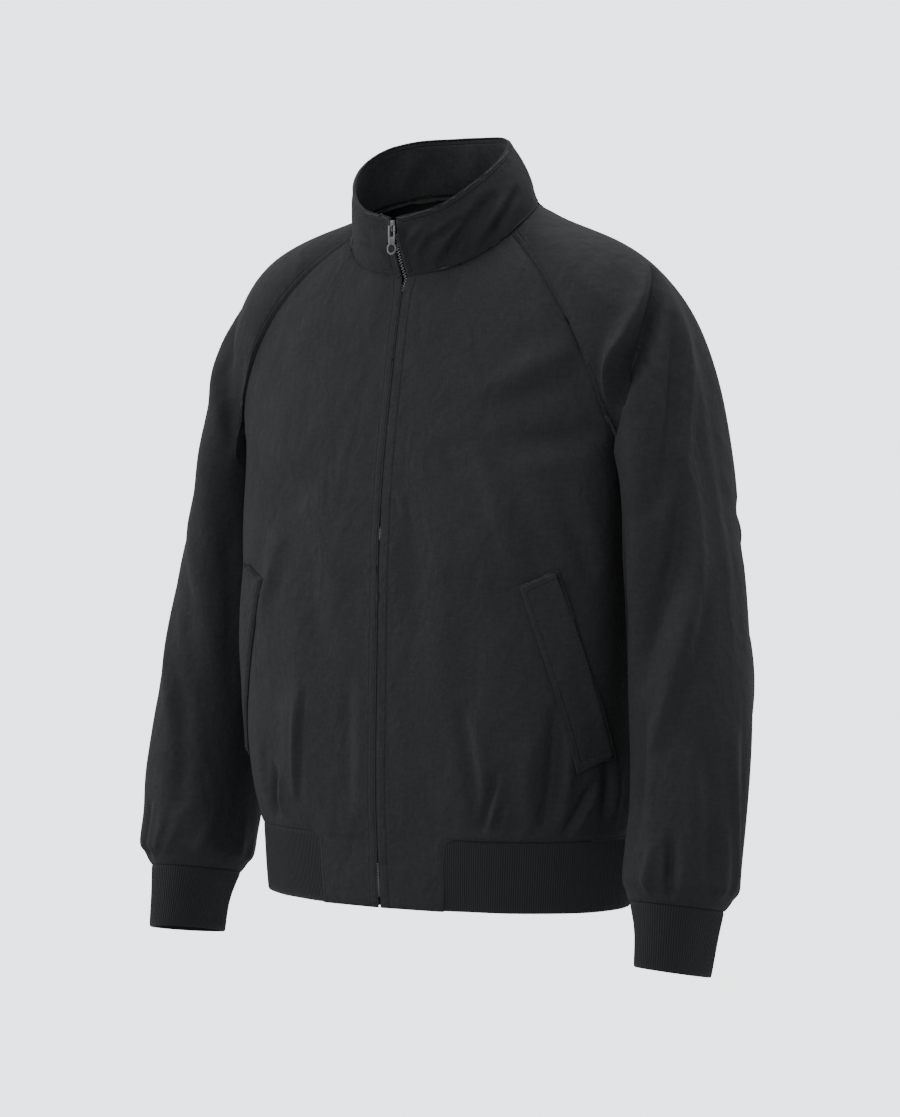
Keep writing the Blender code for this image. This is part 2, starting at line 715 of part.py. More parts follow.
def build_zip(front, collar_grid):
    """Tapes, the closed chain and the box at its foot, behind the front edges."""
    rows = np.concatenate([front[:, :5], collar_grid[1:, :5]])
    path = rows[:, 0].copy()
    path[:, 0] = 0
    body_count = len(front) - 1
    seat = [body_seat] * body_count + [neck_seat] + [collar_seat] * (len(rows) - body_count - 1)
    face = path.copy()
    path[:, 1] += seat
    fall = [np.array([np.interp(x, row[:, 0], row[:, 1]) - row[0, 1] for row in rows])
            for x in (tape_inner, tape_outer)]
    path[0, 2] += zip_end_margin
    path[-1, 2] -= zip_end_margin
    strip("zip_tape_left", path, ((tape_inner, fall[0]), (tape_outer, fall[1])), tape_thickness,
          zip_finish)
    strip("zip_tape_right", path, ((-tape_outer, fall[1]), (-tape_inner, fall[0])),
          tape_thickness, zip_finish)
    heights = path[:, 2]
    chain_ends = np.array([box_top + chain_foot_gap, slider_height - chain_top_drop])
    inside = heights > chain_ends[0] + chain_end_room
    inside &= heights < chain_ends[1] - chain_end_room
    ends = np.stack([np.zeros(2), np.interp(chain_ends, heights, path[:, 1]), chain_ends], axis=1)
    chain = np.concatenate([ends[:1], path[inside], ends[1:]])
    strip("zip_chain", chain, ((-chain_half_width, 0), (chain_half_width, 0)),
          chain_thickness, metal_finish)
    foot = np.array([path[0], path[0]])
    foot[1, 2] = box_top
    strip("zip_box", foot, ((-box_half_width, 0), (box_half_width, 0)), box_thickness,
          metal_finish)
    return face


def build_slider(path):
    """Slider at the top: a front plate with its lug, a neck through the slit, a back plate.

    It leans with the zip. Returns the depth of the lug's middle.
    """
    face = np.interp(slider_height, path[:, 2], path[:, 1])
    lean = np.interp(slider_height + 0.01, path[:, 2], path[:, 1]) - face
    lean = lean / 0.01
    low, high = slider_height - slider_length / 2, slider_height + slider_length / 2
    slot_low, slot_high = slider_height - slot_below, slider_height + slot_above
    front_y = face - slider_lift
    plate_y = front_y - plate_thickness
    back_y = face + back_plate_depth
    rings = [
        (plate_y - lug_reach, lug_half_width, hinge_height - lug_half_height,
         hinge_height + lug_half_height),
        (plate_y, lug_half_width, hinge_height - lug_foot_half_height,
         hinge_height + lug_foot_half_height),
        (plate_y, plate_half_width, low, high),
        (front_y, plate_half_width, low, high),
        (front_y, slot_half_width, slot_low, slot_high),
        (back_y, slot_half_width, slot_low, slot_high),
        (back_y, plate_half_width, low, high),
        (back_y + plate_thickness, plate_half_width, low, high),
    ]
    points, faces = [], []
    for y, half_width, bottom, top in rings:
        for x, z in ((-half_width, bottom), (half_width, bottom), (half_width, top),
                     (-half_width, top)):
            points.append((x, y + lean * (z - slider_height), z))
    for k in range(len(rings) - 1):
        for side in range(4):
            a, b = 4 * k + side, 4 * k + (side + 1) % 4
            faces.append((a, b, b + 4, a + 4))
    last = 4 * (len(rings) - 1)
    faces += [(3, 2, 1, 0), (last, last + 1, last + 2, last + 3)]
    add_object("zip_slider", points, faces, metal_finish, smooth=False)
    return plate_y - lug_reach * 0.5 + lean * (hinge_height - slider_height)


def build_pull(hinge_y):
    """Pull tab, hanging from the lug: two prongs, a neck and a ring round a hole."""
    ring_z = hinge_height - tab_length + ring_radius
    turn = np.linspace(0, 2 * math.pi, ring_sides, endpoint=False) + math.pi / 2
    turn = turn + math.pi / ring_sides
    outer = np.stack([ring_radius * np.cos(turn), ring_z + ring_radius * np.sin(turn)], axis=1)
    inner = np.stack([hole_radius * np.cos(turn), ring_z + hole_radius * np.sin(turn)], axis=1)
    points = [tuple(v) for v in outer] + [tuple(v) for v in inner]
    faces = [(k, (k + 1) % ring_sides, ring_sides + (k + 1) % ring_sides, ring_sides + k)
             for k in range(ring_sides)]
    neck = len(points)
    # The neck and the prongs, four points across; the ring's two top points carry them.
    for z in (neck_height, fork_height, hinge_height + prong_end):
        points += [(x, z) for x in (-prong_outer, -prong_inner, prong_inner, prong_outer)]
    last = ring_sides - 1
    faces += [(1, 0, neck + 1, neck), (0, last, neck + 2, neck + 1),
              (last, last - 1, neck + 3, neck + 2)]
    faces += [(neck + k, neck + k + 1, neck + k + 5, neck + k + 4) for k in (0, 1, 2, 4, 6)]
    flat = np.array([(x, hinge_y - tab_thickness / 2, z) for x, z in points])
    normals = np.tile((0.0, -1.0, 0.0), (len(flat), 1))
    wall("pull_tab", flat, normals, faces, tab_thickness, metal_finish, seam=0)


def clear_scene():
    for item in list(bpy.data.objects):
        bpy.data.objects.remove(item, do_unlink=True)


clear_scene()
front, back_half = build_body()
arm_steps = np.linspace(first_ring, cuff_seam_section, arm_rows)
build_sleeves()
collar_grid = build_collar(front, back_half)
build_hem_rib()
build_cuffs()
build_welts()
zip_path = build_zip(front, collar_grid)
build_pull(build_slider(zip_path))
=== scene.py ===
import math
import random

import bmesh
import bpy
import numpy as np
from mathutils import Matrix, Vector
from mathutils.bvhtree import BVHTree
from mathutils.kdtree import KDTree


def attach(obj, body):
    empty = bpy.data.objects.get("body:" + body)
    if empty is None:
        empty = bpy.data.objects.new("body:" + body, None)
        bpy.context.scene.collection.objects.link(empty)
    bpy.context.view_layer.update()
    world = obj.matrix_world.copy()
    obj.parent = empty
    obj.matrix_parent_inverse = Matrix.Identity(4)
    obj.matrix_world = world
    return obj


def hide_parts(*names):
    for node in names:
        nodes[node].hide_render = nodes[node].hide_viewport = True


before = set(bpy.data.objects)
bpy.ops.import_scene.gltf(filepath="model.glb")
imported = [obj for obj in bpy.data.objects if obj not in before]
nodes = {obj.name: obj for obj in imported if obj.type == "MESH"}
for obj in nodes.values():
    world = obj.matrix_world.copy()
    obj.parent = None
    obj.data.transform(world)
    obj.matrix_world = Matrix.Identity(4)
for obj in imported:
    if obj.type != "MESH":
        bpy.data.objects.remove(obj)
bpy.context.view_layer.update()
scene = bpy.context.scene
print("frame loaded")


def newGroup(name, inputs, outputs):
    group = bpy.data.node_groups.new(name, "ShaderNodeTree")
    for label, value in inputs.items():
        kind = "NodeSocketVector" if label == "Vector" else "NodeSocketFloat"
        kind = "NodeSocketColor" if isinstance(value, tuple) and label != "Vector" else kind
        socket = group.interface.new_socket(label, in_out="INPUT", socket_type=kind)
        if label != "Vector":
            socket.default_value = value
    for label in outputs:
        kind = "NodeSocketColor" if label == "Color" else "NodeSocketFloat"
        group.interface.new_socket(label, in_out="OUTPUT", socket_type=kind)
    return group, group.nodes.new("NodeGroupInput"), group.nodes.new("NodeGroupOutput")


def node(tree, kind, links=None, **values):
    made = tree.nodes.new(kind)
    for key, value in values.items():
        setattr(made, key, value)
    for socket, source in (links or {}).items():
        if isinstance(source, (int, float, tuple)):
            made.inputs[socket].default_value = source
        else:
            tree.links.new(source, made.inputs[socket])
    return made


def stretched(tree, vector, scale):
    return node(tree, "ShaderNodeMapping", {"Vector": vector, "Scale": scale}).outputs["Vector"]


def math2(tree, operation, a, b=0.0):
    return node(tree, "ShaderNodeMath", {0: a, 1: b}, operation=operation).outputs[0]


def noise(tree, vector, scale, detail, **more):
    values = {"Vector": vector, "Scale": scale, "Detail": detail, **more}
    return node(tree, "ShaderNodeTexNoise", values).outputs["Fac"]


def remap(tree, value, low, high, toLow=0.0, toHigh=1.0, **kind):
    ends = {"From Min": low, "From Max": high, "To Min": toLow, "To Max": toHigh}
    return node(tree, "ShaderNodeMapRange", {"Value": value, **ends}, **kind).outputs[0]


def mixColour(tree, share, dark, light, **kind):
    mix = node(tree, "ShaderNodeMix", {"Factor": share, 6: dark, 7: light}, data_type="RGBA",
               **kind)
    return mix.outputs[2]


# a group's three outputs: a colour between its dark and light, roughness and height
def finishGroup(group, start, end, shade, rough, height):
    colour = mixColour(group, shade, start.outputs["Dark"], start.outputs["Light"],
                       clamp_factor=True)
    for label, result in (("Color", colour), ("Roughness", rough), ("Height", height)):
        group.links.new(result, end.inputs[label])
    return group


# plain weave on a UV map in metres: fine threads, slubs along both ways, soft mottling
def makeWeaveGroup():
    group, start, end = newGroup("plainWeave", {
        "Vector": None, "Dark": (0.012, 0.012, 0.013, 1), "Light": (0.024, 0.024, 0.026, 1),
        "Threads": 2200.0, "Slub": 0.75}, ["Color", "Roughness", "Height"])
    uv = start.outputs["Vector"]
    scaled = node(group, "ShaderNodeVectorMath", {0: uv}, operation="SCALE")
    group.links.new(start.outputs["Threads"], scaled.inputs["Scale"])
    warp, weft = [node(group, "ShaderNodeTexWave",
                       {"Vector": scaled.outputs[0], "Scale": 0.32, "Distortion": 0.6,
                        "Detail": 1.0}, wave_type="BANDS", bands_direction=way).outputs["Fac"]
                  for way in "XY"]
    threads = math2(group, "MAXIMUM", warp, weft)
    across, along = [noise(group, stretched(group, uv, scale), 1.0, 3.0)
                     for scale in ((70, 620, 70), (620, 70, 70))]
    mottle = noise(group, uv, 26.0, 4.0, Roughness=0.62)
    slub = math2(group, "ADD", across, along)
    slub = math2(group, "MULTIPLY", math2(group, "SUBTRACT", slub, 1.0), start.outputs["Slub"])
    shade = math2(group, "ADD", math2(group, "MULTIPLY", threads, 0.35), slub)
    shade = math2(group, "ADD", shade, math2(group, "MULTIPLY", mottle, 0.55))
    speck = noise(group, uv, 210.0, 3.0)
    shade = math2(group, "ADD", shade, math2(group, "SUBTRACT", speck, 0.5))
    rough = remap(group, mottle, 0.3, 0.7, 0.66, 0.80)
    height = math2(group, "ADD", threads, math2(group, "MULTIPLY", slub, 0.8))
    return finishGroup(group, start, end, shade, rough, height)


# rib knit: stitches run up each rib; U counts ribs in metres, V is height; the colour follows the
# height, with painted shade in the valleys between ribs and loops
def makeKnitGroup():
    group, start, end = newGroup("ribKnit", {
        "Vector": None, "Dark": (0.009, 0.009, 0.010, 1), "Light": (0.022, 0.022, 0.024, 1),
        "Pitch": 0.0021}, ["Color", "Roughness", "Height"])
    uv = start.outputs["Vector"]
    parts = node(group, "ShaderNodeSeparateXYZ", {0: uv})
    turn = math2(group, "DIVIDE", parts.outputs["X"], start.outputs["Pitch"])
    rib = math2(group, "COSINE", math2(group, "MULTIPLY", turn, 2 * math.pi))
    side = math2(group, "ABSOLUTE", math2(group, "SUBTRACT", math2(group, "FRACT", turn), 0.5))
    rise = math2(group, "MULTIPLY", parts.outputs["Y"], 2 * math.pi / 0.0013)
    loops = math2(group, "SINE", math2(group, "ADD", rise, math2(group, "MULTIPLY", side, 5.0)))
    fuzz = noise(group, uv, 900.0, 3.0)
    height = math2(group, "ADD", math2(group, "MULTIPLY", rib, 0.5),
                   math2(group, "MULTIPLY", loops, 0.22))
    height = math2(group, "ADD", height, math2(group, "MULTIPLY", fuzz, 0.35))
    # painted shade: the colour is darker where the knit is lower, in the valleys between ribs and
    # loops
    shade = remap(group, height, -0.6, 0.95)
    rough = remap(group, fuzz, 0.0, 1.0, 0.82, 0.95)
    return finishGroup(group, start, end, shade, rough, height)


def newMaterial(name):
    made = bpy.data.materials.new(name)
    made.use_nodes = True
    return made, made.node_tree, made.node_tree.nodes["Principled BSDF"]


# soft wrinkles of the cloth itself: long ones down the cloth, with finer ones between
def wrinkleHeight(tree, place):
    broad = noise(tree, stretched(tree, place, (1.0, 1.0, 0.55)), 24.0, 2.0, Distortion=0.8)
    fine = noise(tree, place, 85.0, 2.0, Distortion=0.4)
    return math2(tree, "ADD", broad, math2(tree, "MULTIPLY", fine, 0.30))


# "seam" is the distance from a sewn edge, in shares of its stitch line's inset
def seamHeight(tree, place):
    smooth = {"interpolation_type": "SMOOTHSTEP"}
    share = node(tree, "ShaderNodeAttribute", attribute_name="seam").outputs["Fac"]
    off = math2(tree, "ABSOLUTE", math2(tree, "SUBTRACT", share, 1.0))
    groove = remap(tree, off, 0.0, 0.17, -0.75, 0.0, **smooth)
    allowance = remap(tree, share, 0.75, 1.05, 0.55, 0.0, **smooth)
    near = remap(tree, off, 0.1, 1.3, 1.0, 0.0, **smooth)
    pucker = math2(tree, "SUBTRACT", noise(tree, place, 210.0, 1.0), 0.5)
    pucker = math2(tree, "MULTIPLY", pucker, near)
    total = math2(tree, "ADD", groove, allowance)
    return math2(tree, "ADD", total, math2(tree, "MULTIPLY", pucker, 1.6))


def clothMaterial(name, group, settings, sheen, bump, wrinkles=0.0):
    made, tree, shader = newMaterial(name)
    uv = node(tree, "ShaderNodeUVMap", uv_map="cloth").outputs["UV"]
    weave = node(tree, "ShaderNodeGroup", {"Vector": uv, **settings}, node_tree=group).outputs
    place = node(tree, "ShaderNodeTexCoord").outputs["Object"]
    normal = None
    for height, strength, distance in ((wrinkleHeight(tree, place), 1.0, wrinkles),
                                       (seamHeight(tree, place), 1.0, 0.0006),
                                       (weave["Height"], bump, 0.0002)):
        below = {"Normal": normal} if normal else {}
        normal = node(tree, "ShaderNodeBump", {"Height": height, "Strength": strength,
                                               "Distance": distance, **below}).outputs["Normal"]
    for label, result in (("Base Color", weave["Color"]), ("Roughness", weave["Roughness"]),
                          ("Normal", normal)):
        tree.links.new(result, shader.inputs[label])
    shader.inputs["Sheen Weight"].default_value = sheen
    shader.inputs["Sheen Roughness"].default_value = 0.45
    shader.inputs["Sheen Tint"].default_value = (0.75, 0.77, 0.80, 1)
    shader.inputs["Specular IOR Level"].default_value = 0.32
    return made


def metalMaterial(name, dark, light, roughness):
    made, tree, shader = newMaterial(name)
    grime = noise(tree, node(tree, "ShaderNodeTexCoord").outputs["Object"], 900.0, 4.0)
    tree.links.new(mixColour(tree, grime, dark, light), shader.inputs["Base Color"])
    tree.links.new(remap(tree, grime, 0.0, 1.0, roughness - 0.08, roughness + 0.12),
                   shader.inputs["Roughness"])
    shader.inputs["Metallic"].default_value = 1.0
    return made


def threadMaterial(name, dark, light):
    made, tree, shader = newMaterial(name)
    twist = noise(tree, node(tree, "ShaderNodeTexCoord").outputs["Object"], 2500.0, 2.0)
    tree.links.new(mixColour(tree, twist, dark, light), shader.inputs["Base Color"])
    shader.inputs["Roughness"].default_value = 0.5
    shader.inputs["Sheen Weight"].default_value = 0.1
    return made


weaveGroup = makeWeaveGroup()
knitGroup = makeKnitGroup()
shellTones = {"Dark": (0.014, 0.014, 0.015, 1), "Light": (0.027, 0.027, 0.029, 1)}
collarTones = {"Dark": (0.0115, 0.0115, 0.0125, 1), "Light": (0.0235, 0.0235, 0.0255, 1)}
# painted light: the collar's inside is the same cloth painted about twice as light, with more
# sheen, for light reaching into the collar
paintedLightInsideTones = {"Dark": (0.028, 0.028, 0.030, 1), "Light": (0.056, 0.056, 0.060, 1)}
shellCloth = clothMaterial("shellCloth", weaveGroup, shellTones, 0.05, 0.35, 0.0038)
collarCloth = clothMaterial("collarCloth", weaveGroup, collarTones, 0.05, 0.35, 0.0034)
collarInsidePaintedLight = clothMaterial("collarInsidePaintedLight", weaveGroup, paintedLightInsideTones, 0.10, 0.35, 0.0020)
tapeCloth = clothMaterial("tapeCloth", weaveGroup, {"Dark": (0.002, 0.002, 0.002, 1),
                          "Light": (0.005, 0.005, 0.006, 1), "Threads": 1400.0}, 0.0, 0.6)
ribTones = {"Dark": (0.0120, 0.0120, 0.0132, 1), "Light": (0.0290, 0.0290, 0.0318, 1)}
ribKnit = clothMaterial("ribKnit", knitGroup, ribTones, 0.16, 0.5)
gunMetal = metalMaterial("gunMetal", (0.09, 0.09, 0.095, 1), (0.26, 0.26, 0.27, 1), 0.34)
pullMetal = metalMaterial("pullMetal", (0.13, 0.13, 0.135, 1), (0.27, 0.27, 0.28, 1), 0.36)
toothMetal = metalMaterial("toothMetal", (0.20, 0.20, 0.205, 1), (0.50, 0.50, 0.51, 1), 0.34)
blackThread = threadMaterial("blackThread", (0.014, 0.014, 0.0154, 1), (0.020, 0.020, 0.022, 1))
print("materials made")


def newMesh(name, bm):
    mesh = bpy.data.meshes.new(name)
    bm.to_mesh(mesh)
    bm.free()
    return mesh


def link(name, bm, material):
    mesh = newMesh(name, bm)
    mesh.materials.append(material)
    made = bpy.data.objects.new(name, mesh)
    scene.collection.objects.link(made)
    return made


def applyModifiers(piece):
    shown = piece.evaluated_get(bpy.context.evaluated_depsgraph_get())
    mesh = bpy.data.meshes.new_from_object(shown)
    piece.modifiers.clear()
    piece.data = mesh


def meshOf(piece):
    bm = bmesh.new()
    bm.from_mesh(piece.data)
    return bm


# a copy of a solid's mesh, whose triangles are loose, with its points merged
def merged(nodeName, dist=0.00002):
    bm = meshOf(nodes[nodeName])
    bmesh.ops.remove_doubles(bm, verts=bm.verts, dist=dist)
    return bm


def writeMesh(bm, piece):
    bm.to_mesh(piece.data)
    bm.free()


def surfaceOf(piece):
    return BVHTree.FromObject(piece, bpy.context.evaluated_depsgraph_get())


# how far each place is from the nearest of some points
def distanceTo(points, place):
    tree = KDTree(len(points))
    for k, point in enumerate(points):
        tree.insert(point, k)
    tree.balance()
    return np.array([tree.find(spot)[2] for spot in place])


# the outer skin of a cloth wall, as quads: faces are gathered up to the sharp border
def outerSkin(nodeName, sharp=math.radians(58)):
    bm = merged(nodeName, 0.00003)
    bm.faces.ensure_lookup_table()
    seen, skins = set(), []
    for first in bm.faces:
        if first in seen:
            continue
        seen.add(first)
        skin, waiting = [], [first]
        while waiting:
            face = waiting.pop()
            skin.append(face)
            for edge in face.edges:
                if len(edge.link_faces) == 2 and edge.calc_face_angle(0) < sharp:
                    for other in edge.link_faces:
                        if other not in seen:
                            seen.add(other)
                            waiting.append(other)
        skins.append(skin)
    skins.sort(key=lambda skin: sum(face.calc_area() for face in skin), reverse=True)
    outer = set(skins[0])
    bmesh.ops.delete(bm, geom=[f for f in bm.faces if f not in outer], context="FACES")
    bmesh.ops.join_triangles(bm, faces=bm.faces, angle_face_threshold=math.radians(60),
                             angle_shape_threshold=math.radians(80), topology_influence=1.0)
    return bm


def smoothSkin(nodeName, levels, material):
    piece = link(nodeName + "_cloth", outerSkin(nodeName), material)
    rounder = piece.modifiers.new("smooth", "SUBSURF")
    rounder.levels = rounder.render_levels = levels
    rounder.boundary_smooth = "PRESERVE_CORNERS"
    applyModifiers(piece)
    return piece


def addBorderLoops(piece, widths):
    bm = meshOf(piece)
    for width in widths:
        bmesh.ops.inset_region(bm, faces=bm.faces, use_boundary=True, use_even_offset=False,
                               thickness=width)
    writeMesh(bm, piece)


def coordinates(piece):
    count = len(piece.data.vertices)
    place, away = np.empty(count * 3), np.empty(count * 3)
    piece.data.vertices.foreach_get("co", place)
    piece.data.vertex_normals.foreach_get("vector", away)
    return place.reshape(-1, 3), away.reshape(-1, 3)


def setCoordinates(piece, place):
    piece.data.vertices.foreach_set("co", place.ravel())
    piece.data.update()


# a cloth piece with fine loops along its border, its points, the ways out of the cloth there,
# and how far each point is from the border
def startCloth(nodeName, levels, material, loops):
    piece = smoothSkin(nodeName, levels, material)
    addBorderLoops(piece, loops)
    place, away = coordinates(piece)
    return piece, place, away, borderDistance(piece, place)


def bell(gap, width):
    return np.exp(-(gap / width) ** 2)


def borderDistance(piece, place):
    bm = meshOf(piece)
    rim = []
    for edge in bm.edges:
        if edge.is_boundary:
            a, b = edge.verts[0].co, edge.verts[1].co
            steps = max(1, int((b - a).length / 0.001))
            rim += [a.lerp(b, k / steps) for k in range(steps)]
    bm.free()
    return distanceTo(rim, place)


# a crease is a ridge from one point to another with a shallower valley along one side:
# from, to, half width, height (below zero: a trough), bow sideways
def creaseHeight(creases, place, away):
    total = np.zeros(len(place))
    for start, end, width, height, bow in creases:
        start, end = np.array(start, float), np.array(end, float)
        run = end - start
        length = np.linalg.norm(run)
        share = (place - start) @ run / length ** 2
        t = np.clip(share, 0, 1)
        side = np.cross(away, run / length)
        side /= np.maximum(np.linalg.norm(side, axis=1), 1e-6)[:, None]
        gap = place - start - t[:, None] * run
        sideways = (gap * side).sum(axis=1) - bow * 4 * t * (1 - t)
        past = np.abs(share - t) * length
        depthGap = np.linalg.norm(gap - (gap * side).sum(axis=1)[:, None] * side, axis=1)
        fade = np.sin(np.pi * np.clip(share * 0.94 + 0.03, 0, 1)) ** 0.7
        fade = fade * bell(past, width) * np.exp(-(depthGap / 0.05) ** 4)
        ridge = bell(sideways, width) - 0.55 * bell(sideways - 1.7 * width, width)
        total += height * bodyCloth["creases"] * ridge * fade
    return total


# slow uneven waves, so that no stretch of cloth is dead flat
def ripple(place, seed, waves):
    rng = random.Random(seed)
    total = np.zeros(len(place))
    for length, height in waves:
        for _ in range(3):
            turn = Vector((rng.gauss(0, 1), rng.gauss(0, 1), rng.gauss(0, 0.6))).normalized()
            phase = rng.uniform(0, 2 * math.pi)
            total += height / 1.7 * np.sin(place @ np.array(turn) * 2 * math.pi / length + phase)
    return total


# short gathers that run up or down from a rib seam at a given height
def gathers(place, heights, along, pitch, reach, depth, seed):
    rng = random.Random(seed)
    total = np.zeros(len(place))
    at = 0.0
    end = float(along.max())
    while at < end:
        width = pitch * rng.uniform(0.30, 0.62)
        tall = reach * rng.uniform(0.35, 1.25)
        high = depth * rng.uniform(0.25, 1.0)
        lean = rng.uniform(-0.35, 0.35)
        gap = along - at - lean * heights
        rise = np.clip(heights / tall, 0, 1)
        total += high * bell(gap, width) * (1 - rise) ** 1.4
        at += pitch * rng.uniform(0.55, 1.7)
    return total * (heights > 0) * (1 - bell(heights, 0.006))


def unwrap(piece, mapping):
    mesh = piece.data
    layer = mesh.uv_layers.get("cloth") or mesh.uv_layers.new(name="cloth")
    place, _ = coordinates(piece)
    flat = mapping(place)
    corner = np.empty(len(mesh.loops), dtype=np.int32)
    mesh.loops.foreach_get("vertex_index", corner)
    layer.data.foreach_set("uv", flat[corner].ravel())


def bodyFlat(place):
    turn = np.arctan2(place[:, 0], -place[:, 1] * 1.3)
    return np.stack([turn * 0.19, place[:, 2]], axis=1)


def collarFlat(place):
    return np.stack([np.arctan2(place[:, 0], -place[:, 1]) * 0.08, place[:, 2]], axis=1)


def sleeveFlat(place):
    side = np.sign(place[:, 0])
    middleX = np.interp(-place[:, 2], [0.05, 0.2, 0.4, 0.7], [0.20, 0.24, 0.268, 0.283])
    middleY = np.interp(-place[:, 2], [0.05, 0.3, 0.5, 0.7], [0.015, 0.015, -0.01, -0.045])
    turn = np.arctan2(np.abs(place[:, 0]) - middleX, -(place[:, 1] - middleY))
    return np.stack([turn * 0.06 * side, place[:, 2]], axis=1)


def bevelEdges(piece, width, segments, angle):
    edge = piece.modifiers.new("edge", "BEVEL")
    edge.width = width
    edge.segments = segments
    edge.limit_method = "ANGLE"
    edge.angle_limit = math.radians(angle)


def shadeRound(piece, angle):
    piece.data.shade_smooth()
    piece.data.set_sharp_from_angle(angle=math.radians(angle))


def thicken(piece, thickness, bevel=0.0, inside=None):
    wall = piece.modifiers.new("wall", "SOLIDIFY")
    wall.thickness = thickness
    wall.offset = -1.0
    wall.use_even_offset = False
    if inside:
        piece.data.materials.append(inside)
        wall.material_offset = 1
    if bevel:
        bevelEdges(piece, bevel, 2, 60)
    applyModifiers(piece)
    shadeRound(piece, 48)


# the way out of the cloth at a border point, in its own plane
def outOfBorder(vert):
    total = Vector()
    for edge in vert.link_edges:
        if edge.is_boundary:
            run = edge.verts[1].co - edge.verts[0].co
            out = vert.normal.cross(run).normalized()
            middle = edge.link_faces[0].calc_center_median()
            total += out if out.dot(edge.verts[0].co - middle) > 0 else -out
    return total.normalized()


# cloth that goes on under the next piece, past the seam
def tuckBorder(piece, chosen, reach, dip):
    bm = meshOf(piece)
    bm.normal_update()
    edges = [edge for edge in bm.edges
             if edge.is_boundary and all(chosen(vert.co) for vert in edge.verts)]
    moves = {vert: outOfBorder(vert) * reach - vert.normal * dip
             for edge in edges for vert in edge.verts}
    made = bmesh.ops.extrude_edge_only(bm, edges=edges)
    fresh = {item for item in made["geom"] if isinstance(item, bmesh.types.BMVert)}
    for vert in fresh:
        root = next(edge.other_vert(vert) for edge in vert.link_edges
                    if edge.other_vert(vert) in moves)
        vert.co += moves[root]
    bmesh.ops.recalc_face_normals(bm, faces=bm.faces)
    writeMesh(bm, piece)


# the very edge turns under and a little past the seam, so that two panels meet with no gap
def rollBorder(piece, reach, dip):
    bm = meshOf(piece)
    bm.normal_update()
    moves = {}
    for vert in bm.verts:
        if vert.is_boundary:
            moves[vert] = outOfBorder(vert) * reach - vert.normal * dip
    for vert, move in moves.items():
        vert.co += move
    writeMesh(bm, piece)


def finishCloth(piece, place, shape, mapping):
    setCoordinates(piece, place)
    rollBorder(piece, shape["meet"], shape["turnUnder"])
    unwrap(piece, mapping)
    return piece


# the slit over the zip: half its width, by height
zipSlit = {
    "height": (-0.632, -0.605, -0.575, -0.310, -0.282, -0.255, -0.058, -0.053, -0.047, -0.040,
               -0.022, -0.010, -0.004, 0.002, 0.013),
    "half": (0.0014, 0.0013, 0.0005, 0.0005, 0.0010, 0.0005, 0.0005, 0.0014, 0.0028, 0.0034,
             0.0030, 0.0022, 0.0025, 0.0034, 0.0036),
    "cadHalf": 0.0018, "reach": 0.012,
}


def closeSlit(place):
    half = np.interp(place[:, 2], zipSlit["height"], zipSlit["half"])
    share = 1 - (np.abs(place[:, 0]) - zipSlit["cadHalf"]) / zipSlit["reach"]
    share = np.clip(share, 0, 1) ** 1.5 * (place[:, 1] < 0)
    place[:, 0] -= np.sign(place[:, 0]) * share * (zipSlit["cadHalf"] - half)
    return place


levels = 3
backLevels = 2

bodyCloth = {
    "wall": 0.0007, "creases": 2.0, "seamDip": 0.0001, "seamDipWidth": 0.0013, "allowance": 0.0080,
    "allowanceBlend": 0.0009, "allowanceRise": 0.00045,
    "ripples": ((0.34, 0.0011), (0.16, 0.0006), (0.075, 0.00022)),
    "meet": 0.0004, "turnUnder": 0.0003, "gatherPitch": 0.017, "gatherReach": 0.060,
    "frontGathers": 0.0012, "backGathers": 0.0036, "ribTop": -0.5637, "loops": (0.0009, 0.0013),
    "soften": 0.008, "zipCalm": 0.03, "leastCalm": 0.05, "tabCalm": 0.25,
}
sleeveCloth = {
    "gatherPitch": 0.015, "gatherReach": 0.050, "gathers": 0.0046,
    "cuffTop": -0.610, "cuffMiddle": -0.03, "cuffTilt": 0.17,
}


# the creases are listed in millimetres
def inMetres(creases):
    def metres(value):
        return tuple(map(metres, value)) if isinstance(value, tuple) else round(value / 1000, 6)

    return [metres(crease) for crease in creases]


frontCreases = inMetres([
    # wearer's left: from the armpit, over the pocket, above the rib
    ((200, -52, -95), (95, -90, -150), 14, 2.4, 4),
    ((208, -49, -185), (125, -86, -196), 13, -2.2, 4),
    ((95, -95, -200), (150, -95, -320), 12, 2.1, 4),
    ((172, -70, -240), (198, -55, -330), 9, -1.8, 3),
    ((90, -110, -440), (107, -101, -556), 7.5, -2.2, 3),
    ((126, -103, -500), (108, -100, -558), 4.5, -3, 1),
    ((131, -97, -528), (120, -96, -558), 3, -1.6, 0),
    ((176, -81, -438), (166, -79, -552), 7.5, -4.2, 4),
    ((156, -88, -470), (152, -86, -556), 8, 1.8, -3),
    ((198, -47, -508), (174, -62, -558), 4.2, -2.6, 1),
    ((207, -36, -480), (199, -32, -556), 6.5, -2.6, 2),
    ((70, -111, -330), (64, -112, -470), 16, 1, 5),
    ((30, -115, -250), (40, -115, -380), 16, -1.1, 5),
    # wearer's right
    ((-185, -70, -205), (-95, -100, -250), 13, -2.6, -4),
    ((-127, -99, -285), (-160, -90, -370), 10, 1.6, 3),
    ((-34, -114, -410), (-35, -114, -552), 9.5, -1.5, 2),
    ((-93, -110, -425), (-99, -108, -535), 4.2, 1.7, -2),
    ((-112, -104, -410), (-124, -101, -530), 10, -0.8, -3),
    ((-126, -100, -505), (-131, -94, -556), 5.5, -3, -1),
    ((-150, -88, -470), (-146, -86, -552), 9, 1.4, -2),
    ((-80, -112, -300), (-60, -115, -420), 16, -1.2, -6),
])
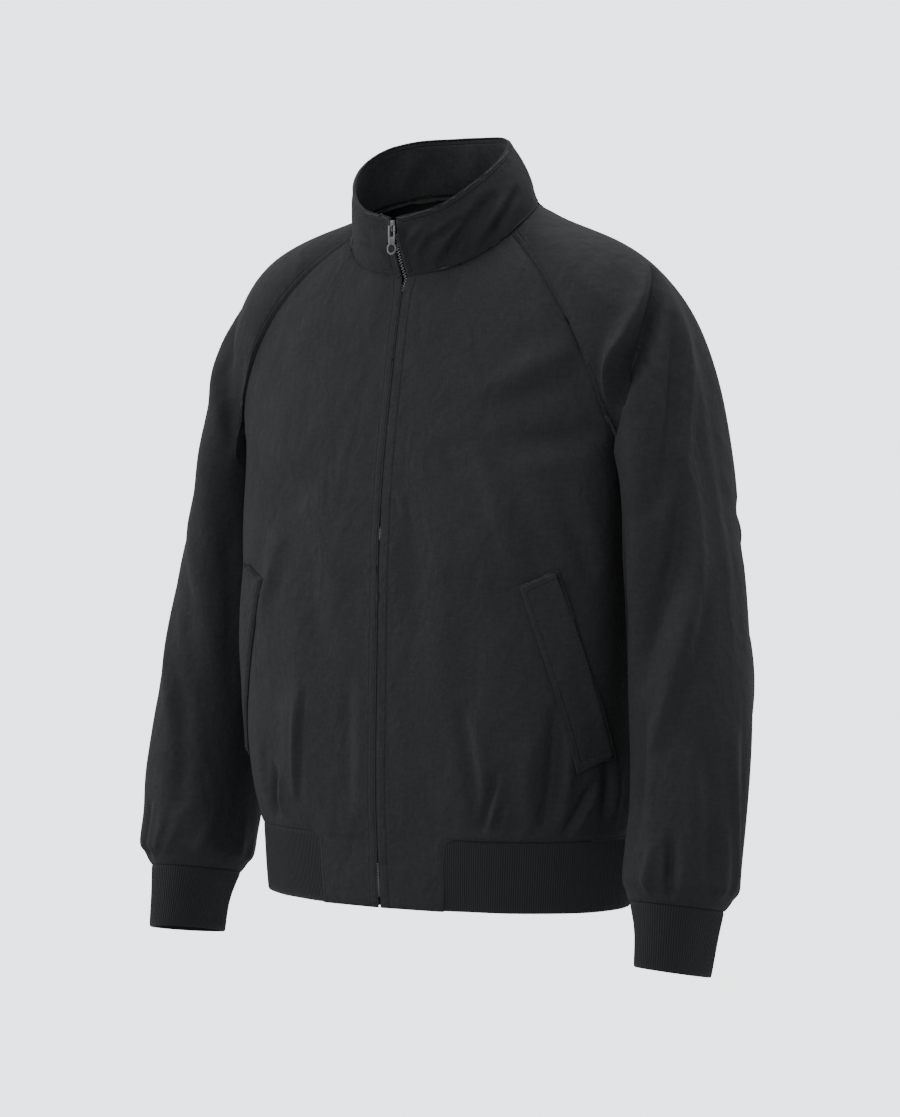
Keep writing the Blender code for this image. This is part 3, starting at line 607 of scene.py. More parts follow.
backCreases = inMetres([
    ((185, 80, -205), (80, 115, -255), 14, -3, 4),
    ((190, 70, -240), (120, 110, -330), 12, -2, -5),
    ((-185, 80, -200), (-70, 118, -240), 13, -2.8, -4),
    ((-190, 70, -250), (-130, 108, -350), 12, -2.2, 6),
    ((120, 110, -420), (110, 108, -552), 12, 2.4, 4),
    ((40, 125, -450), (50, 118, -556), 11, 2.2, -3),
    ((-30, 125, -430), (-20, 118, -550), 13, -2, 3),
    ((-90, 118, -460), (-100, 108, -556), 10, 2.5, -4),
    ((-155, 95, -410), (-150, 85, -552), 12, 2.2, 4),
    ((175, 85, -440), (165, 75, -553), 10, 2.3, -3),
])
sleeveCreases = inMetres([
    # given for the wearer's left; the right is changed a little below
    ((225, -50, -160), (246, 4, -38), 8.5, -11.2, 0),
    ((212, -49, -200), (234, -46, -108), 7, -3.6, -1),
    ((262, 2, -80), (268, -49, -262), 9, -4.2, 3),
    ((246, -52, -205), (238, -55, -350), 12, 1.8, 2),
    ((283, -28, -215), (262, -60, -420), 9.5, -5.2, 5),
    ((244, -50, -250), (226, -45, -470), 10, -3.4, -4),
    ((266, 24, -130), (321, 0, -430), 8, 0.6, 4),
    ((300, -40, -330), (278, -71, -475), 8.5, 3.4, 3),
    ((266, -66, -440), (262, -78, -560), 9, -2.8, -3),
    ((300, -78, -550), (299, -77, -612), 5.5, -3.8, 1),
    ((312, -60, -470), (306, -66, -600), 9, 2.2, 4),
    ((318, -40, -540), (312, -46, -606), 6.5, -2.4, 0),
    ((326, -5, -460), (318, -12, -600), 9, 2.4, -4),
    ((282, -78, -560), (280, -80, -608), 4.5, 2, 0),
    ((300, 85, -260), (255, 88, -400), 12, -3, 4),
    ((305, 70, -380), (275, 68, -520), 11, 2.8, -5),
    ((240, 95, -200), (300, 80, -300), 10, -2.4, 4),
    ((280, 45, -520), (275, 35, -600), 9, 2.8, 3),
    ((250, 40, -540), (252, 26, -600), 8, -2.6, 0),
    ((250, 5, -30), (285, 10, -180), 16, 1.4, 4),
])


def mirroredCreases(creases, seed, share):
    rng = random.Random(seed)
    other = []
    for start, end, width, height, bow in creases:
        slip = Vector((rng.uniform(-0.006, 0.006), 0, rng.uniform(-0.022, 0.022)))
        start = Vector((-start[0], start[1], start[2])) + slip
        end = Vector((-end[0], end[1], end[2])) + slip * rng.uniform(0.2, 1.4)
        other.append((start, end, width * rng.uniform(0.85, 1.25),
                      height * share * rng.uniform(0.75, 1.2), -bow * rng.uniform(0.4, 1.4)))
    return other


def seamShape(gap):
    band = 1 / (1 + np.exp((gap - bodyCloth["allowance"]) / bodyCloth["allowanceBlend"]))
    dip = bodyCloth["seamDip"] * bell(gap, bodyCloth["seamDipWidth"])
    return bodyCloth["allowanceRise"] * band - dip


# creases and slow waves, which die out at the sewn edges
def softShape(creases, seed, place, away, gap):
    height = creaseHeight(creases, place, away) + ripple(place, seed, bodyCloth["ripples"])
    return height * (1 - bell(gap, bodyCloth["soften"]))


def makeBodyPanel(nodeName, creases, seed):
    back = nodeName == "back"
    piece, place, away, gap = startCloth(nodeName, backLevels if back else levels, shellCloth,
                                         bodyCloth["loops"])
    fromZip = np.where(place[:, 1] < 0, np.abs(place[:, 0]) / bodyCloth["zipCalm"], 1)
    along = np.arctan2(place[:, 0], -place[:, 1] * 1.35) * 0.19
    rise = place[:, 2] - bodyCloth["ribTop"]
    onTab = rise < -0.003
    height = softShape(creases, seed, place, away, gap)
    height += gathers(place, rise, along - along.min(), bodyCloth["gatherPitch"],
                      bodyCloth["gatherReach"],
                      bodyCloth["backGathers" if back else "frontGathers"], seed + 1) * ~onTab
    height *= np.clip(fromZip, bodyCloth["leastCalm"], 1)
    height *= np.where(onTab, bodyCloth["tabCalm"], 1)
    height += seamShape(gap)
    return finishCloth(piece, closeSlit(place + away * height[:, None]), bodyCloth, bodyFlat)


def makeSleeve(nodeName, creases, seed):
    piece, place, away, gap = startCloth(nodeName, levels, shellCloth, bodyCloth["loops"])
    along = sleeveFlat(place)[:, 0]
    rise = (place[:, 2] - sleeveCloth["cuffTop"]
            + (place[:, 1] - sleeveCloth["cuffMiddle"]) * sleeveCloth["cuffTilt"])
    height = softShape(creases, seed, place, away, gap)
    height += gathers(place, rise, along - along.min(), sleeveCloth["gatherPitch"],
                      sleeveCloth["gatherReach"], sleeveCloth["gathers"], seed + 1)
    height += seamShape(gap)
    return finishCloth(piece, place + away * height[:, None], bodyCloth, sleeveFlat)


panels = {}
for nodeName, creases, seed in (("front_left", frontCreases, 11), ("front_right", frontCreases, 12),
                                ("back", backCreases, 13)):
    panels[nodeName] = makeBodyPanel(nodeName, creases, seed)
panels["sleeve_left"] = makeSleeve("sleeve_left", sleeveCreases, 21)
panels["sleeve_right"] = makeSleeve("sleeve_right", mirroredCreases(sleeveCreases, 5, 0.45), 22)
print("body and sleeves shaped")

collarShape = {
    "wall": 0.0016, "edge": 0.0005, "roll": 0.0006, "rollAt": 0.0030, "rollWidth": 0.0030,
    "piping": 0.0005, "pipingAt": 0.0016, "pipingWidth": 0.0009,
    "groove": 0.7, "grooveAt": 0.0040, "grooveWidth": 0.0012,
    "meet": 0.0004, "turnUnder": 0.0005, "loops": (0.0009, 0.0013, 0.0016), "soften": 0.010,
    "ripples": ((0.12, 0.0007), (0.05, 0.0002)), "baseWithout": 0.006,
}
collarFolds = inMetres([
    ((40, -67, -34), (82, -43, 34), 5, -2, 2),
    ((82, -40, -4), (92, -14, 42), 4.6, -2.1, 1),
    ((38, -76, -10), (64, -64, 12), 3.4, -1.2, 1),
    ((54, -64, -24), (77, -50, 24), 4.2, 1, 1),
    ((70, -54, -16), (88, -34, 30), 5, 1.2, 2),
    ((24, -76, -26), (40, -76, -2), 3.6, -1, 1),
    ((12, -82, -12), (30, -81, 6), 3.6, 0.8, 1),
    ((-54, -68, -10), (-20, -76, -26), 4.2, -1.3, 2),
    ((-34, -79, 6), (-10, -84, -4), 4.2, -1.1, 1),
    ((-60, -64, 6), (-34, -78, -4), 4.2, 0.9, 1),
    ((-86, -34, -10), (-80, -36, 30), 10, -1.6, 0),
    ((60, 34, 40), (52, 30, 86), 10, -1.8, 3),
    ((-20, 50, 44), (4, 44, 86), 12, -1.4, 2),
    ((-70, 28, 34), (-58, 30, 80), 10, -1.8, -3),
])


# true for points on the collar's lower half, given as an array of places
def collarBase(place):
    return place[:, 2] < np.interp(place[:, 1], [-0.09, 0.04], [-0.015, 0.062])


def makeCollar():
    piece, place, away, gap = startCloth("collar", levels, collarCloth, collarShape["loops"])
    height = ripple(place, 31, collarShape["ripples"]) * (1 - bell(gap, collarShape["soften"]))
    height += creaseHeight(collarFolds, place, away)
    height += collarShape["roll"] * bell(gap - collarShape["rollAt"], collarShape["rollWidth"])
    piping = bell(gap - collarShape["pipingAt"], collarShape["pipingWidth"])
    piping -= collarShape["groove"] * bell(gap - collarShape["grooveAt"],
                                           collarShape["grooveWidth"])
    height += np.where(collarBase(place) & (np.abs(place[:, 0]) > collarShape["baseWithout"]),
                       collarShape["piping"] * piping, 0)
    return finishCloth(piece, closeSlit(place + away * height[:, None]), collarShape,
                       collarFlat)


panels["collar"] = makeCollar()


# left and right: how far the open edge stands off, how far the border goes on and turns under,
# and whether the sewn edges are pressed flat on the front
welts = {
    "left": {"openLift": 0.0024, "meet": 0.0, "turnUnder": 0.0014, "pressed": False},
    "right": {"openLift": 0.0006, "meet": 0.0, "turnUnder": 0.0006, "pressed": True},
    "loops": (0.0007, 0.0010), "ripples": ((0.10, 0.0004), (0.045, 0.0002)), "rise": 0.0004,
    "edgeDip": 0.0007, "edgeWidth": 0.0010, "openWidth": 0.008, "openCalm": 0.006,
    "openTop": (0.1807, -0.0831, -0.3132), "openRun": (0.0297, 0.0497, -0.1728),
    "openLength": 0.1823, "pressWidth": 0.0024, "pressedRise": 0.0004,
}


def makeWelt(hand, seed):
    welt = welts[hand]
    piece, place, away, gap = startCloth("pocket_welt_" + hand, levels, shellCloth,
                                         welts["loops"])
    height = ripple(place, seed, welts["ripples"])
    height += welts["rise"] - welts["edgeDip"] * bell(gap, welts["edgeWidth"])
    side = np.array([math.copysign(1, place[0, 0]), 1, 1])
    run = side * welts["openRun"] / welts["openLength"]
    fromTop = place - side * welts["openTop"]
    openEdge = np.linalg.norm(fromTop - (fromTop @ run)[:, None] * run, axis=1)
    height += welt["openLift"] * bell(openEdge, welts["openWidth"])
    place = place + away * height[:, None]
    if welt["pressed"]:
        front = surfaceOf(panels["front_" + hand])
        pressed = bell(gap, welts["pressWidth"]) * (1 - bell(openEdge, welts["openCalm"]))
        for k in np.nonzero(pressed > 0.01)[0]:
            spot, normal, _, _ = front.find_nearest(Vector(place[k]))
            flat = np.array(spot + normal * welts["pressedRise"])
            place[k] += (flat - place[k]) * pressed[k]
    return finishCloth(piece, place, welt, bodyFlat)


panels["pocket_welt_left"] = makeWelt("left", 41)
panels["pocket_welt_right"] = makeWelt("right", 42)
print("collar and welts shaped")


def borderLoops(piece):
    bm = meshOf(piece)
    loops, used = [], set()
    for edge in bm.edges:
        if not edge.is_boundary or edge in used:
            continue
        first, here = edge.verts
        loop = [first.co.copy()]
        step = edge
        while step is not None:
            used.add(step)
            loop.append(here.co.copy())
            step = next((e for e in here.link_edges if e.is_boundary and e not in used), None)
            here = step.other_vert(here) if step else here
        loops.append(loop[:-1])
    bm.free()
    return loops


# the part of a panel's border from one point to another, by way of a third
def borderPath(piece, start, end, via):
    def nearest(loop, point):
        return min(range(len(loop)), key=lambda k: (loop[k] - Vector(point)).length_squared)

    def miss(path):
        return min((p - Vector(via)).length for p in path)

    loop = min(borderLoops(piece), key=lambda loop: (loop[nearest(loop, start)]
                                                     - Vector(start)).length)
    a, b = nearest(loop, start), nearest(loop, end)
    forward = [loop[(a + k) % len(loop)] for k in range((b - a) % len(loop) + 1)]
    back = [loop[(a - k) % len(loop)] for k in range((a - b) % len(loop) + 1)]
    return min((forward, back), key=miss)


# points along a path, by share of its length, and that length
def alongPath(path, shares):
    points = np.array([tuple(p) for p in path])
    length = np.concatenate([[0], np.cumsum(np.linalg.norm(np.diff(points, axis=0), axis=1))])
    return np.stack([np.interp(shares * length[-1], length, points[:, k]) for k in range(3)],
                    axis=1), float(length[-1])


def evenPath(path, pitch):
    count = max(2, int(alongPath(path, np.zeros(1))[1] / pitch))
    return alongPath(path, np.linspace(0, 1, count + 1))[0]


# each point's distance from the nearest sewn edge, in shares of that edge's inset
def markSeams(piece, paths):
    place, _ = coordinates(piece)
    value = np.full(len(place), 9.0)
    for path, inset in paths:
        value = np.minimum(value, distanceTo(evenPath(path, 0.0015), place) / inset)
    layer = piece.data.attributes.new("seam", "FLOAT", "POINT")
    layer.data.foreach_set("value", value)


# a path moved in from the border along the cloth; ends can be held back as well
def insetPath(piece, path, inset, holdBack, pitch):
    tree = surfaceOf(piece)
    points = evenPath(path, pitch)
    runs = np.gradient(points, axis=0)
    runs = np.array([runs[max(0, k - 3):k + 4].mean(axis=0) for k in range(len(runs))])
    placed = []
    length = pitch * len(points)
    for k, (point, run) in enumerate(zip(points, runs)):
        along = k * pitch
        if along < holdBack[0] or along > length - holdBack[1]:
            continue
        point, run = Vector(point), Vector(run).normalized()
        _, normal, _, _ = tree.find_nearest(point)
        side = normal.cross(run).normalized()
        best = min((side, -side), key=lambda way: (tree.find_nearest(point + way * 0.008)[0]
                                                   - point - way * 0.008).length)
        spot, normal, _, _ = tree.find_nearest(point + best * inset)
        placed.append((spot, normal, run))
    return placed


def scatter(name, shape, matrices, material):
    bm = bmesh.new()
    for matrix in matrices:
        single = shape.copy()
        single.transform(matrix)
        bm.from_mesh(single)
        bpy.data.meshes.remove(single)
    piece = link(name, bm, material)
    piece.data.shade_smooth()
    return piece


stitch = {"length": 0.0022, "width": 0.00050, "height": 0.00034, "pitch": 0.0029, "sink": 0.00002}
# how far each row of stitches is from the sewn edge, and how far a row's ends are held back
rows = {
    "raglan": (0.0014, 0.0066), "zipLeft": (0.0110,), "zipRight": (0.0080,), "tab": (0.0050,),
    "hem": (0.0016,), "collarFront": (0.0080,), "collarTop": (0.0066,), "collarBase": (0.0036,),
    "welt": (0.0014, 0.0062), "weltEnd": (0.0014, 0.0085),
    "short": (0.002, 0.002), "belowTop": (0.002, 0.007), "shortBase": (0.004, 0.004),
}


def stitchShape():
    bm = bmesh.new()
    bmesh.ops.create_icosphere(bm, subdivisions=1, radius=0.5)
    bmesh.ops.scale(bm, vec=(stitch["length"], stitch["width"], stitch["height"]), verts=bm.verts)
    return newMesh("stitchShape", bm)


stitchMesh = stitchShape()
threads, seams = {}, {}


def sew(nodeName, start, end, via, insets, holdBack=(0.0, 0.0)):
    piece = panels[nodeName]
    path = borderPath(piece, start, end, via)
    seams.setdefault(nodeName, []).append((path, max(insets)))
    for inset in insets:
        for spot, normal, run in insetPath(piece, path, inset, holdBack, stitch["pitch"]):
            run = (run - normal * run.dot(normal)).normalized()
            side = normal.cross(run)
            spot = spot + normal * (stitch["height"] * 0.25 - stitch["sink"])
            matrix = Matrix((run, side, normal)).transposed().to_4x4()
            matrix.translation = spot
            threads.setdefault(nodeName, []).append(matrix)


for side, hand in ((1, "left"), (-1, "right")):
    neckFront, neckBack = (side * 0.0918, -0.0269, -0.0025), (side * 0.0865, 0.0268, 0.0293)
    underarm = (side * 0.207, 0.015, -0.197)
    zipTop, zipFoot = (side * 0.0018, -0.0695, -0.042), (side * 0.0018, -0.110, -0.632)
    tabFoot, tabTop = (side * 0.0689, -0.1043, -0.632), (side * 0.0722, -0.1082, -0.564)
    ribSide = (side * 0.199, 0.014, -0.564)
    sleeveName, frontName = "sleeve_" + hand, "front_" + hand
    sew(sleeveName, neckFront, underarm, (side * 0.19, -0.06, -0.10), rows["raglan"])
    sew(sleeveName, neckBack, underarm, (side * 0.20, 0.08, -0.10), rows["raglan"])
    sew(frontName, zipTop, zipFoot, (side * 0.0018, -0.11, -0.30),
        rows["zip" + hand.capitalize()], rows["short"])
    sew(frontName, tabTop, tabFoot, (side * 0.071, -0.106, -0.60), rows["tab"])
    sew(frontName, tabTop, ribSide, (side * 0.14, -0.08, -0.564), rows["hem"])
    sew("collar", zipTop, (side * 0.0036, -0.088, 0.013), (side * 0.0020, -0.080, -0.01),
        rows["collarFront"], rows["belowTop"])
    weltName = "pocket_welt_" + hand
    top, low = (side * 0.1492, -0.0975, -0.328), (side * 0.1924, -0.066, -0.501)
    topBack, lowBack = (side * 0.1807, -0.0831, -0.313), (side * 0.2104, -0.0336, -0.486)
    sew(weltName, top, low, (side * 0.175, -0.080, -0.415), rows["welt"])
    sew(weltName, top, topBack, (side * 0.163, -0.087, -0.320), rows["weltEnd"])
    sew(weltName, low, lowBack, (side * 0.205, -0.050, -0.494), rows["weltEnd"])
sew("collar", (0.0018, -0.088, 0.013), (-0.0018, -0.088, 0.013), (0.0, 0.036, 0.094),
    rows["collarTop"], rows["short"])
sew("collar", (0.0018, -0.0695, -0.042), (-0.0018, -0.0695, -0.042), (0.0865, 0.0268, 0.0293),
    rows["collarBase"], rows["shortBase"])
sew("back", (0.199, 0.014, -0.564), (-0.199, 0.014, -0.564), (0.0, 0.116, -0.564), rows["hem"])
for nodeName, paths in seams.items():
    markSeams(panels[nodeName], paths)


tucks = {"body": (0.0024, 0.0014), "collar": (0.0022, 0.0022)}  # how far on, how far under


def underBody(point):
    return point.z > -0.30


def sideEdge(point):
    return abs(point.x) > 0.19 and point.z < -0.19


def underCollar(point):
    return abs(point.x) > 0.0036 and collarBase(np.array([point]))[0]


for hand in ("left", "right"):
    tuckBorder(panels["sleeve_" + hand], underBody, *tucks["body"])
    tuckBorder(panels["front_" + hand], sideEdge, *tucks["body"])
tuckBorder(panels["collar"], underCollar, *tucks["collar"])

for nodeName, matrices in threads.items():
    piece = scatter(nodeName + "_stitches", stitchMesh, matrices, blackThread)
    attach(piece, "jacket")
print("stitches", sum(len(m) for m in threads.values()))


ribs = {
    "pitch": 0.0021, "perRib": 5, "depth": 0.00045, "wall": 0.0016,
    "rows": (0.0, 0.012, 0.04, 0.12, 0.28, 0.46, 0.64, 0.80, 0.92, 0.97, 0.990, 1.0),
    "rowDip": (0.0010, 0.0002, 0, 0, 0, 0, 0, 0, 0.0002, 0.0004, 0.0008, 0.0014),
    "tuck": 0.0026, "tuckDip": 0.0012, "loose": ((0.16, 0.0008), (0.05, 0.0004)),
    "sharpness": 0.6, "fade": 0.08, "least": 0.25, "span": 6,
}


# a knitted band between two paths, low and high; its ribs run from one to the other
def ribBand(name, skin, low, high, closed, seed):
    count = int(alongPath(low, np.zeros(1))[1] / ribs["pitch"])
    columns = count * ribs["perRib"] + (0 if closed else 1)
    shares = np.arange(columns) / (count * ribs["perRib"])
    low, high = alongPath(low, shares)[0], alongPath(high, shares)[0]
    tree = surfaceOf(skin)
    rise = np.array(ribs["rows"])
    grid = low[None] * (1 - rise)[:, None, None] + high[None] * rise[:, None, None]
    for row in range(1, len(rise) - 1):
        grid[row] = [tree.find_nearest(Vector(point))[0] for point in grid[row]]
    span = ribs["span"]
    runs = np.roll(grid, -span, axis=1) - np.roll(grid, span, axis=1)
    if not closed:
        runs[:, :span], runs[:, -span:] = runs[:, span:span + 1], runs[:, -span - 1:-span]
    normals = np.cross(runs, high - low)
    normals /= np.linalg.norm(normals, axis=2)[:, :, None]
    profile = np.abs(np.sin(np.pi * np.arange(columns) / ribs["perRib"])) ** ribs["sharpness"] - 0.6
    fullness = np.clip(np.minimum(rise, 1 - rise) / ribs["fade"], ribs["least"], 1)
    loose = ripple(grid.reshape(-1, 3), seed, ribs["loose"]).reshape(grid.shape[:2])
    height = profile[None] * ribs["depth"] * fullness[:, None] + loose * (1 - rise)[:, None]
    height -= np.array(ribs["rowDip"])[:, None]
    # the top row and the two ends go on under the cloth beside them
    tall = float(np.linalg.norm(high - low, axis=1).mean())
    grid = grid + normals * height[:, :, None]
    top = grid[-1:] + (high - low) / tall * ribs["tuck"] - normals[-1:] * ribs["tuckDip"]
    grid = np.concatenate([grid, top])
    rise = np.append(rise, 1 + ribs["tuck"] / tall)
    if closed:
        grid = np.concatenate([grid, grid[:, :1]], axis=1)
        across = np.arange(columns + 1)
    else:
        runs = np.concatenate([runs, runs[-1:]])
        reach = runs / np.linalg.norm(runs, axis=2)[:, :, None] * ribs["tuck"]
        dip = np.concatenate([normals, normals[-1:]]) * ribs["tuckDip"]
        grid = np.concatenate([grid[:, :1] - reach[:, :1] - dip[:, :1], grid,
                               grid[:, -1:] + reach[:, -1:] - dip[:, -1:]], axis=1)
        across = np.arange(-1, columns + 1)
    bm = bmesh.new()
    bmesh.ops.create_grid(bm, x_segments=len(across) - 1, y_segments=len(rise) - 1, size=1.0)
    bm.verts.index_update()
    layer = bm.loops.layers.uv.new("cloth")
    for vert, point in zip(bm.verts, grid.reshape(-1, 3)):
        vert.co = point
    for face in bm.faces:
        for loop in face.loops:
            row, column = divmod(loop.vert.index, len(across))
            loop[layer].uv = ((across[column] / ribs["perRib"] + 0.5) * ribs["pitch"],
                              rise[row] * tall)
    bmesh.ops.remove_doubles(bm, verts=bm.verts, dist=0.000001)
    return link(name, bm, ribKnit)


def bandSkin(nodeName):
    skin = smoothSkin(nodeName, 1, ribKnit)
    skin.name = nodeName + "_skin"
    return skin


hemSkin = bandSkin("hem_rib")
hemEnds = ((0.0692, -0.1043, -0.632), (-0.0692, -0.1043, -0.632))
hemTops = ((0.0719, -0.1084, -0.5642), (-0.0719, -0.1084, -0.5642))
panels["hem_rib"] = ribBand("hem_rib_cloth", hemSkin,
                            borderPath(hemSkin, *hemEnds, (0, 0.110, -0.632)),
                            borderPath(hemSkin, *hemTops, (0, 0.115, -0.564)), False, 51)
for side, hand in ((1, "left"), (-1, "right")):
    cuffSkin = bandSkin("cuff_" + hand)
    low, high = sorted(borderLoops(cuffSkin), key=lambda loop: sum(p.z for p in loop))
    closedLoops = []
    for loop in (low, high):
        middle = sum(loop, Vector()) / len(loop)
        start = max(range(len(loop)), key=lambda k: (loop[k] - middle).y)
        loop = loop[start:] + loop[:start]
        spin = sum((a - middle).cross(b - middle).z for a, b in zip(loop, loop[1:]))
        if spin < 0:
            loop = [loop[0]] + loop[:0:-1]
        closedLoops.append(loop + loop[:1])
    panels["cuff_" + hand] = ribBand("cuff_" + hand + "_cloth", cuffSkin, *closedLoops, True,
                                     52 + side)
    bpy.data.objects.remove(cuffSkin, do_unlink=True)
bpy.data.objects.remove(hemSkin, do_unlink=True)
print("rib bands knitted")


zipShape = {
    "pitch": 0.00254, "tooth": (0.0019, 0.0013, 0.0012), "reach": 0.00078, "tapeEdge": 0.0001,
    "tapeSink": 0.0022, "tapeInner": 0.0034, "tapeWidth": 0.0116, "tapeReach": 0.0150,
    "taper": 0.72, "toothBevel": 0.00022, "sunk": -0.0010, "sunkShut": 0.0015,
    "collarBase": -0.043, "collarTop": -0.012, "sunkCollar": -0.0020, "shutHalf": 0.0009,
    "endGap": 0.0015, "leanSpan": 0.004,
}


def bevelledCopy(nodeName, width, material):
    bm = merged(nodeName)
    bmesh.ops.dissolve_limit(bm, angle_limit=math.radians(2), verts=bm.verts, edges=bm.edges)
    piece = link(nodeName + "_shown", bm, material)
    bevelEdges(piece, width, 3, 25)
    applyModifiers(piece)
    shadeRound(piece, 50)
    return piece


def makeTeeth():
    points = coordinates(nodes["zip_chain"])[0]
    low, high = points[:, 2].min(), points[:, 2].max()
    heights = np.unique(points[:, 2].round(5))
    depths = np.array([points[np.abs(points[:, 2] - z) < 0.0002][:, 1].min() for z in heights])
    bm = bmesh.new()
    bmesh.ops.create_cube(bm, size=1.0)
    bmesh.ops.scale(bm, vec=zipShape["tooth"], verts=bm.verts)
    for vert in bm.verts:
        if vert.co.x < 0:
            vert.co.z *= zipShape["taper"]
    bmesh.ops.bevel(bm, geom=bm.edges[:], offset=zipShape["toothBevel"], segments=1,
                    profile=0.5, material=-1, affect="EDGES")
    tooth = newMesh("toothShape", bm)
    places = []
    count = int((high - low - 2 * zipShape["endGap"]) / zipShape["pitch"])
    span = zipShape["leanSpan"]
    for side in (1, -1):
        for k in range(count):
            z = low + zipShape["endGap"] + (k + (0.5 if side > 0 else 0.0)) * zipShape["pitch"]
            half = float(np.interp(z, zipSlit["height"], zipSlit["half"]))
            sunk = zipShape["sunk" if half > zipShape["shutHalf"] else "sunkShut"]
            if zipShape["collarBase"] < z < zipShape["collarTop"]:
                sunk = zipShape["sunkCollar"]
            y = float(np.interp(z, heights, depths)) + sunk
            lean = float(np.interp(z + span, heights, depths)
                         - np.interp(z - span, heights, depths)) / (2 * span)
            turn = Matrix.Rotation(math.atan(-lean), 4, "X")
            if side < 0:
                turn = turn @ Matrix.Rotation(math.pi, 4, "Y")
            places.append(Matrix.Translation((side * zipShape["reach"], y, z)) @ turn)
    return scatter("zipTeeth", tooth, places, toothMetal)


sliderShape = {
    "height": (0.0000, 0.0030, 0.0055, 0.0080, 0.0110), "waist": (0.62, 0.86, 0.60, 0.92, 0.55),
    "core": 0.0018,
}
pullShape = {"ringHeight": -0.0141, "hole": 0.0026, "ring": 0.0054, "widen": 1.45,
             "widenUp": 0.7, "body": 1.22, "bodyBlend": 0.004, "hinge": 0.005, "stretch": 1.10}


def makeSlider():
    piece = bevelledCopy("zip_slider", 0.00035, gunMetal)
    place, _ = coordinates(piece)
    waist = np.interp(place[:, 2], sliderShape["height"], sliderShape["waist"])
    place[:, 0] *= np.where(np.abs(place[:, 0]) > sliderShape["core"], waist, 1)
    setCoordinates(piece, place)
    return piece


def makePull():
    piece = bevelledCopy("pull_tab", 0.00030, pullMetal)
    place, _ = coordinates(piece)
    fromRing = place[:, (0, 2)] - np.array([0.0, pullShape["ringHeight"]])
    far = np.linalg.norm(fromRing, axis=1)
    wider = np.interp(far, (pullShape["hole"], pullShape["ring"]), (pullShape["widen"], 1.0))
    place[:, 0] += fromRing[:, 0] * (wider - 1)
    place[:, 2] += fromRing[:, 1] * (wider - 1) * pullShape["widenUp"]
    bodyShare = np.clip((fromRing[:, 1] - pullShape["hole"]) / pullShape["bodyBlend"], 0, 1)
    place[:, 0] *= 1 + (pullShape["body"] - 1) * bodyShare
    place[:, 2] = pullShape["hinge"] + (place[:, 2] - pullShape["hinge"]) * pullShape["stretch"]
    setCoordinates(piece, place)
    return piece


# a finished piece rides on its body in place of its solid
def standFor(piece, nodeName, body):
    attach(piece, body)
    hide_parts(nodeName)


metalPieces = {
    "zip_chain": makeTeeth(),
    "zip_slider": makeSlider(),
    "zip_box": bevelledCopy("zip_box", 0.00030, gunMetal),
    "pull_tab": makePull(),
}
for nodeName, piece in metalPieces.items():
    standFor(piece, nodeName, "pull" if nodeName == "pull_tab" else "jacket")
for hand in ("left", "right"):
    nodeName = "zip_tape_" + hand
    bm = merged(nodeName)
    for vert in bm.verts:
        share = (abs(vert.co.x) - zipShape["tapeInner"]) / zipShape["tapeWidth"]
        vert.co.y += zipShape["tapeSink"] * (1 - share)
        across = zipShape["tapeEdge"] * (1 - share) + zipShape["tapeReach"] * share
        vert.co.x = math.copysign(across, vert.co.x)
    tape = link(nodeName + "_cloth", bm, tapeCloth)
    unwrap(tape, lambda p: np.stack([p[:, 0], p[:, 2]], axis=1))
    tape.data.shade_flat()
    standFor(tape, nodeName, "jacket")
print("zip made")


stage = {
    "camera": (2.30141586, -3.28178119, -0.16830957), "azimuth": 35.0, "elevation": 2.0,
    "lens": 168.0, "backdrop": (2.80, 3.06, 3.14), "fill": (0.50, 0.51, 0.52),
    "floorHeight": -1.15, "floorSize": 40.0, "floorTone": (0.10, 0.10, 0.10),
    "floorSeen": 0.86, "floorGlow": 0.12,
}
# from, towards, size and power
lights = {
    "keyLight": ((-2.6, -2.0, 1.5), (0, 0, -0.3), (1.6, 1.6), 34),
    "frontLight": ((1.4, -3.1, 0.1), (0, 0, -0.3), (1.8, 1.8), 17.5),
    "topLight": ((0.4, 0.4, 2.2), (0, 0, 0), (1.4, 1.4), 30),
    "lowLight": ((-2.7, -0.9, -0.4), (-0.2, 0, -0.4), (1.0, 1.4), 10),
}


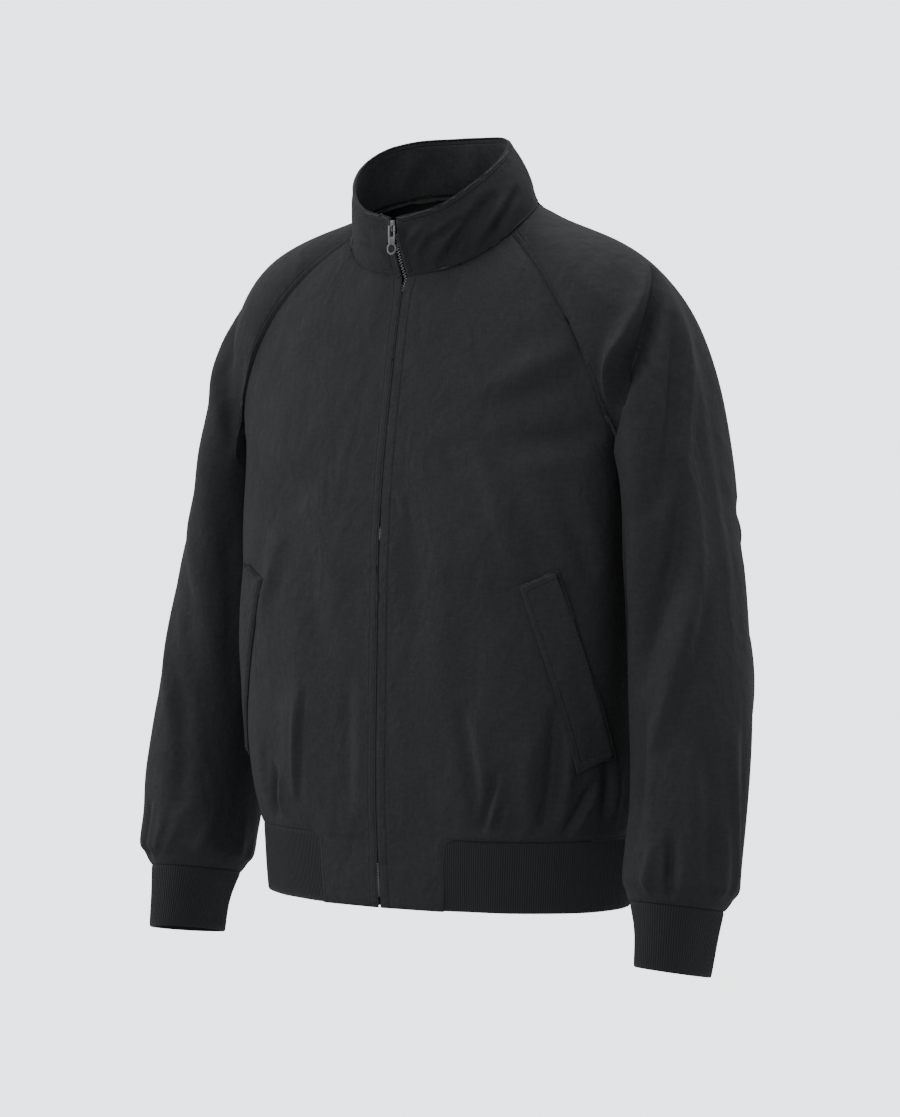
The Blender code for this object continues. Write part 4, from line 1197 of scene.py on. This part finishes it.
def makeStage():
    lens = bpy.data.cameras.new("camera")
    lens.lens = stage["lens"]
    lens.sensor_width = 36.0
    lens.sensor_fit = "HORIZONTAL"
    lens.clip_end = 100.0
    camera = bpy.data.objects.new("camera", lens)
    camera.location = stage["camera"]
    camera.rotation_euler = (math.radians(90 - stage["elevation"]), 0,
                             math.radians(stage["azimuth"]))
    scene.collection.objects.link(camera)
    scene.camera = camera
    world = bpy.data.worlds.new("studio")
    world.use_nodes = True
    tree = world.node_tree
    seen = tree.nodes["Background"]
    seen.inputs["Color"].default_value = (*stage["backdrop"], 1)
    fill = node(tree, "ShaderNodeBackground", {"Color": (*stage["fill"], 1)})
    rays = node(tree, "ShaderNodeLightPath")
    mix = node(tree, "ShaderNodeMixShader", {0: rays.outputs["Is Camera Ray"],
                                             1: fill.outputs[0], 2: seen.outputs[0]})
    tree.links.new(mix.outputs[0], tree.nodes["World Output"].inputs["Surface"])
    scene.world = world
    bm = bmesh.new()
    bmesh.ops.create_grid(bm, x_segments=1, y_segments=1, size=stage["floorSize"],
                          matrix=Matrix.Translation((0, 0, stage["floorHeight"])))
    paper, tree, shader = newMaterial("floorPaper")
    shader.inputs["Base Color"].default_value = (*stage["floorTone"], 1)
    shader.inputs["Roughness"].default_value = 1.0
    shader.inputs["Specular IOR Level"].default_value = 0.0
    shader.inputs["Emission Color"].default_value = (*stage["backdrop"], 1)
    rays = node(tree, "ShaderNodeLightPath").outputs["Is Camera Ray"]
    glow = math2(tree, "MULTIPLY", rays, stage["floorSeen"])
    glow = math2(tree, "ADD", glow, stage["floorGlow"])
    tree.links.new(glow, shader.inputs["Emission Strength"])
    link("floor", bm, paper)


def areaLight(name, place, target, size, power):
    lamp = bpy.data.lights.new(name, "AREA")
    lamp.shape = "RECTANGLE"
    lamp.size, lamp.size_y = size
    lamp.energy = power
    made = bpy.data.objects.new(name, lamp)
    made.location = place
    made.rotation_euler = (Vector(target) - Vector(place)).to_track_quat("-Z", "Y").to_euler()
    scene.collection.objects.link(made)


makeStage()
for name, light in lights.items():
    areaLight(name, *light)
print("camera, light and floor placed")

# the cut of each piece that shows, in metres: width and length, area where it is no rectangle,
# and how it is held
cuts = {
    "front": ((0.315, 0.630), 0.150, "hung"), "back": ((0.560, 0.600), 0.282, "hung"),
    "sleeve": ((0.400, 0.700), 0.234, "hung"), "collar": ((0.440, 0.110), 0.038, "hung"),
    "hem_rib": ((0.830, 0.070), None, "stretched"), "cuff": ((0.200, 0.068), None, "stretched"),
    "pocket_welt": ((0.041, 0.182), None, "laid"),
}
restsOn = {"hem_rib": "back", "cuff": "sleeve", "pocket_welt": "front"}
for nodeName, piece in panels.items():
    stem = nodeName.removesuffix("_left").removesuffix("_right")
    if stem == "collar":
        thicken(piece, collarShape["wall"], collarShape["edge"], collarInsidePaintedLight)
    else:
        thicken(piece, (ribs if stem in ("hem_rib", "cuff") else bodyCloth)["wall"])
    standFor(piece, nodeName, "jacket")
    flat, area, held = cuts[stem]
    extra = {"area": area} if area else {}
    if stem in restsOn:
        extra["rests_on"] = [restsOn[stem] + nodeName[len(stem):]]
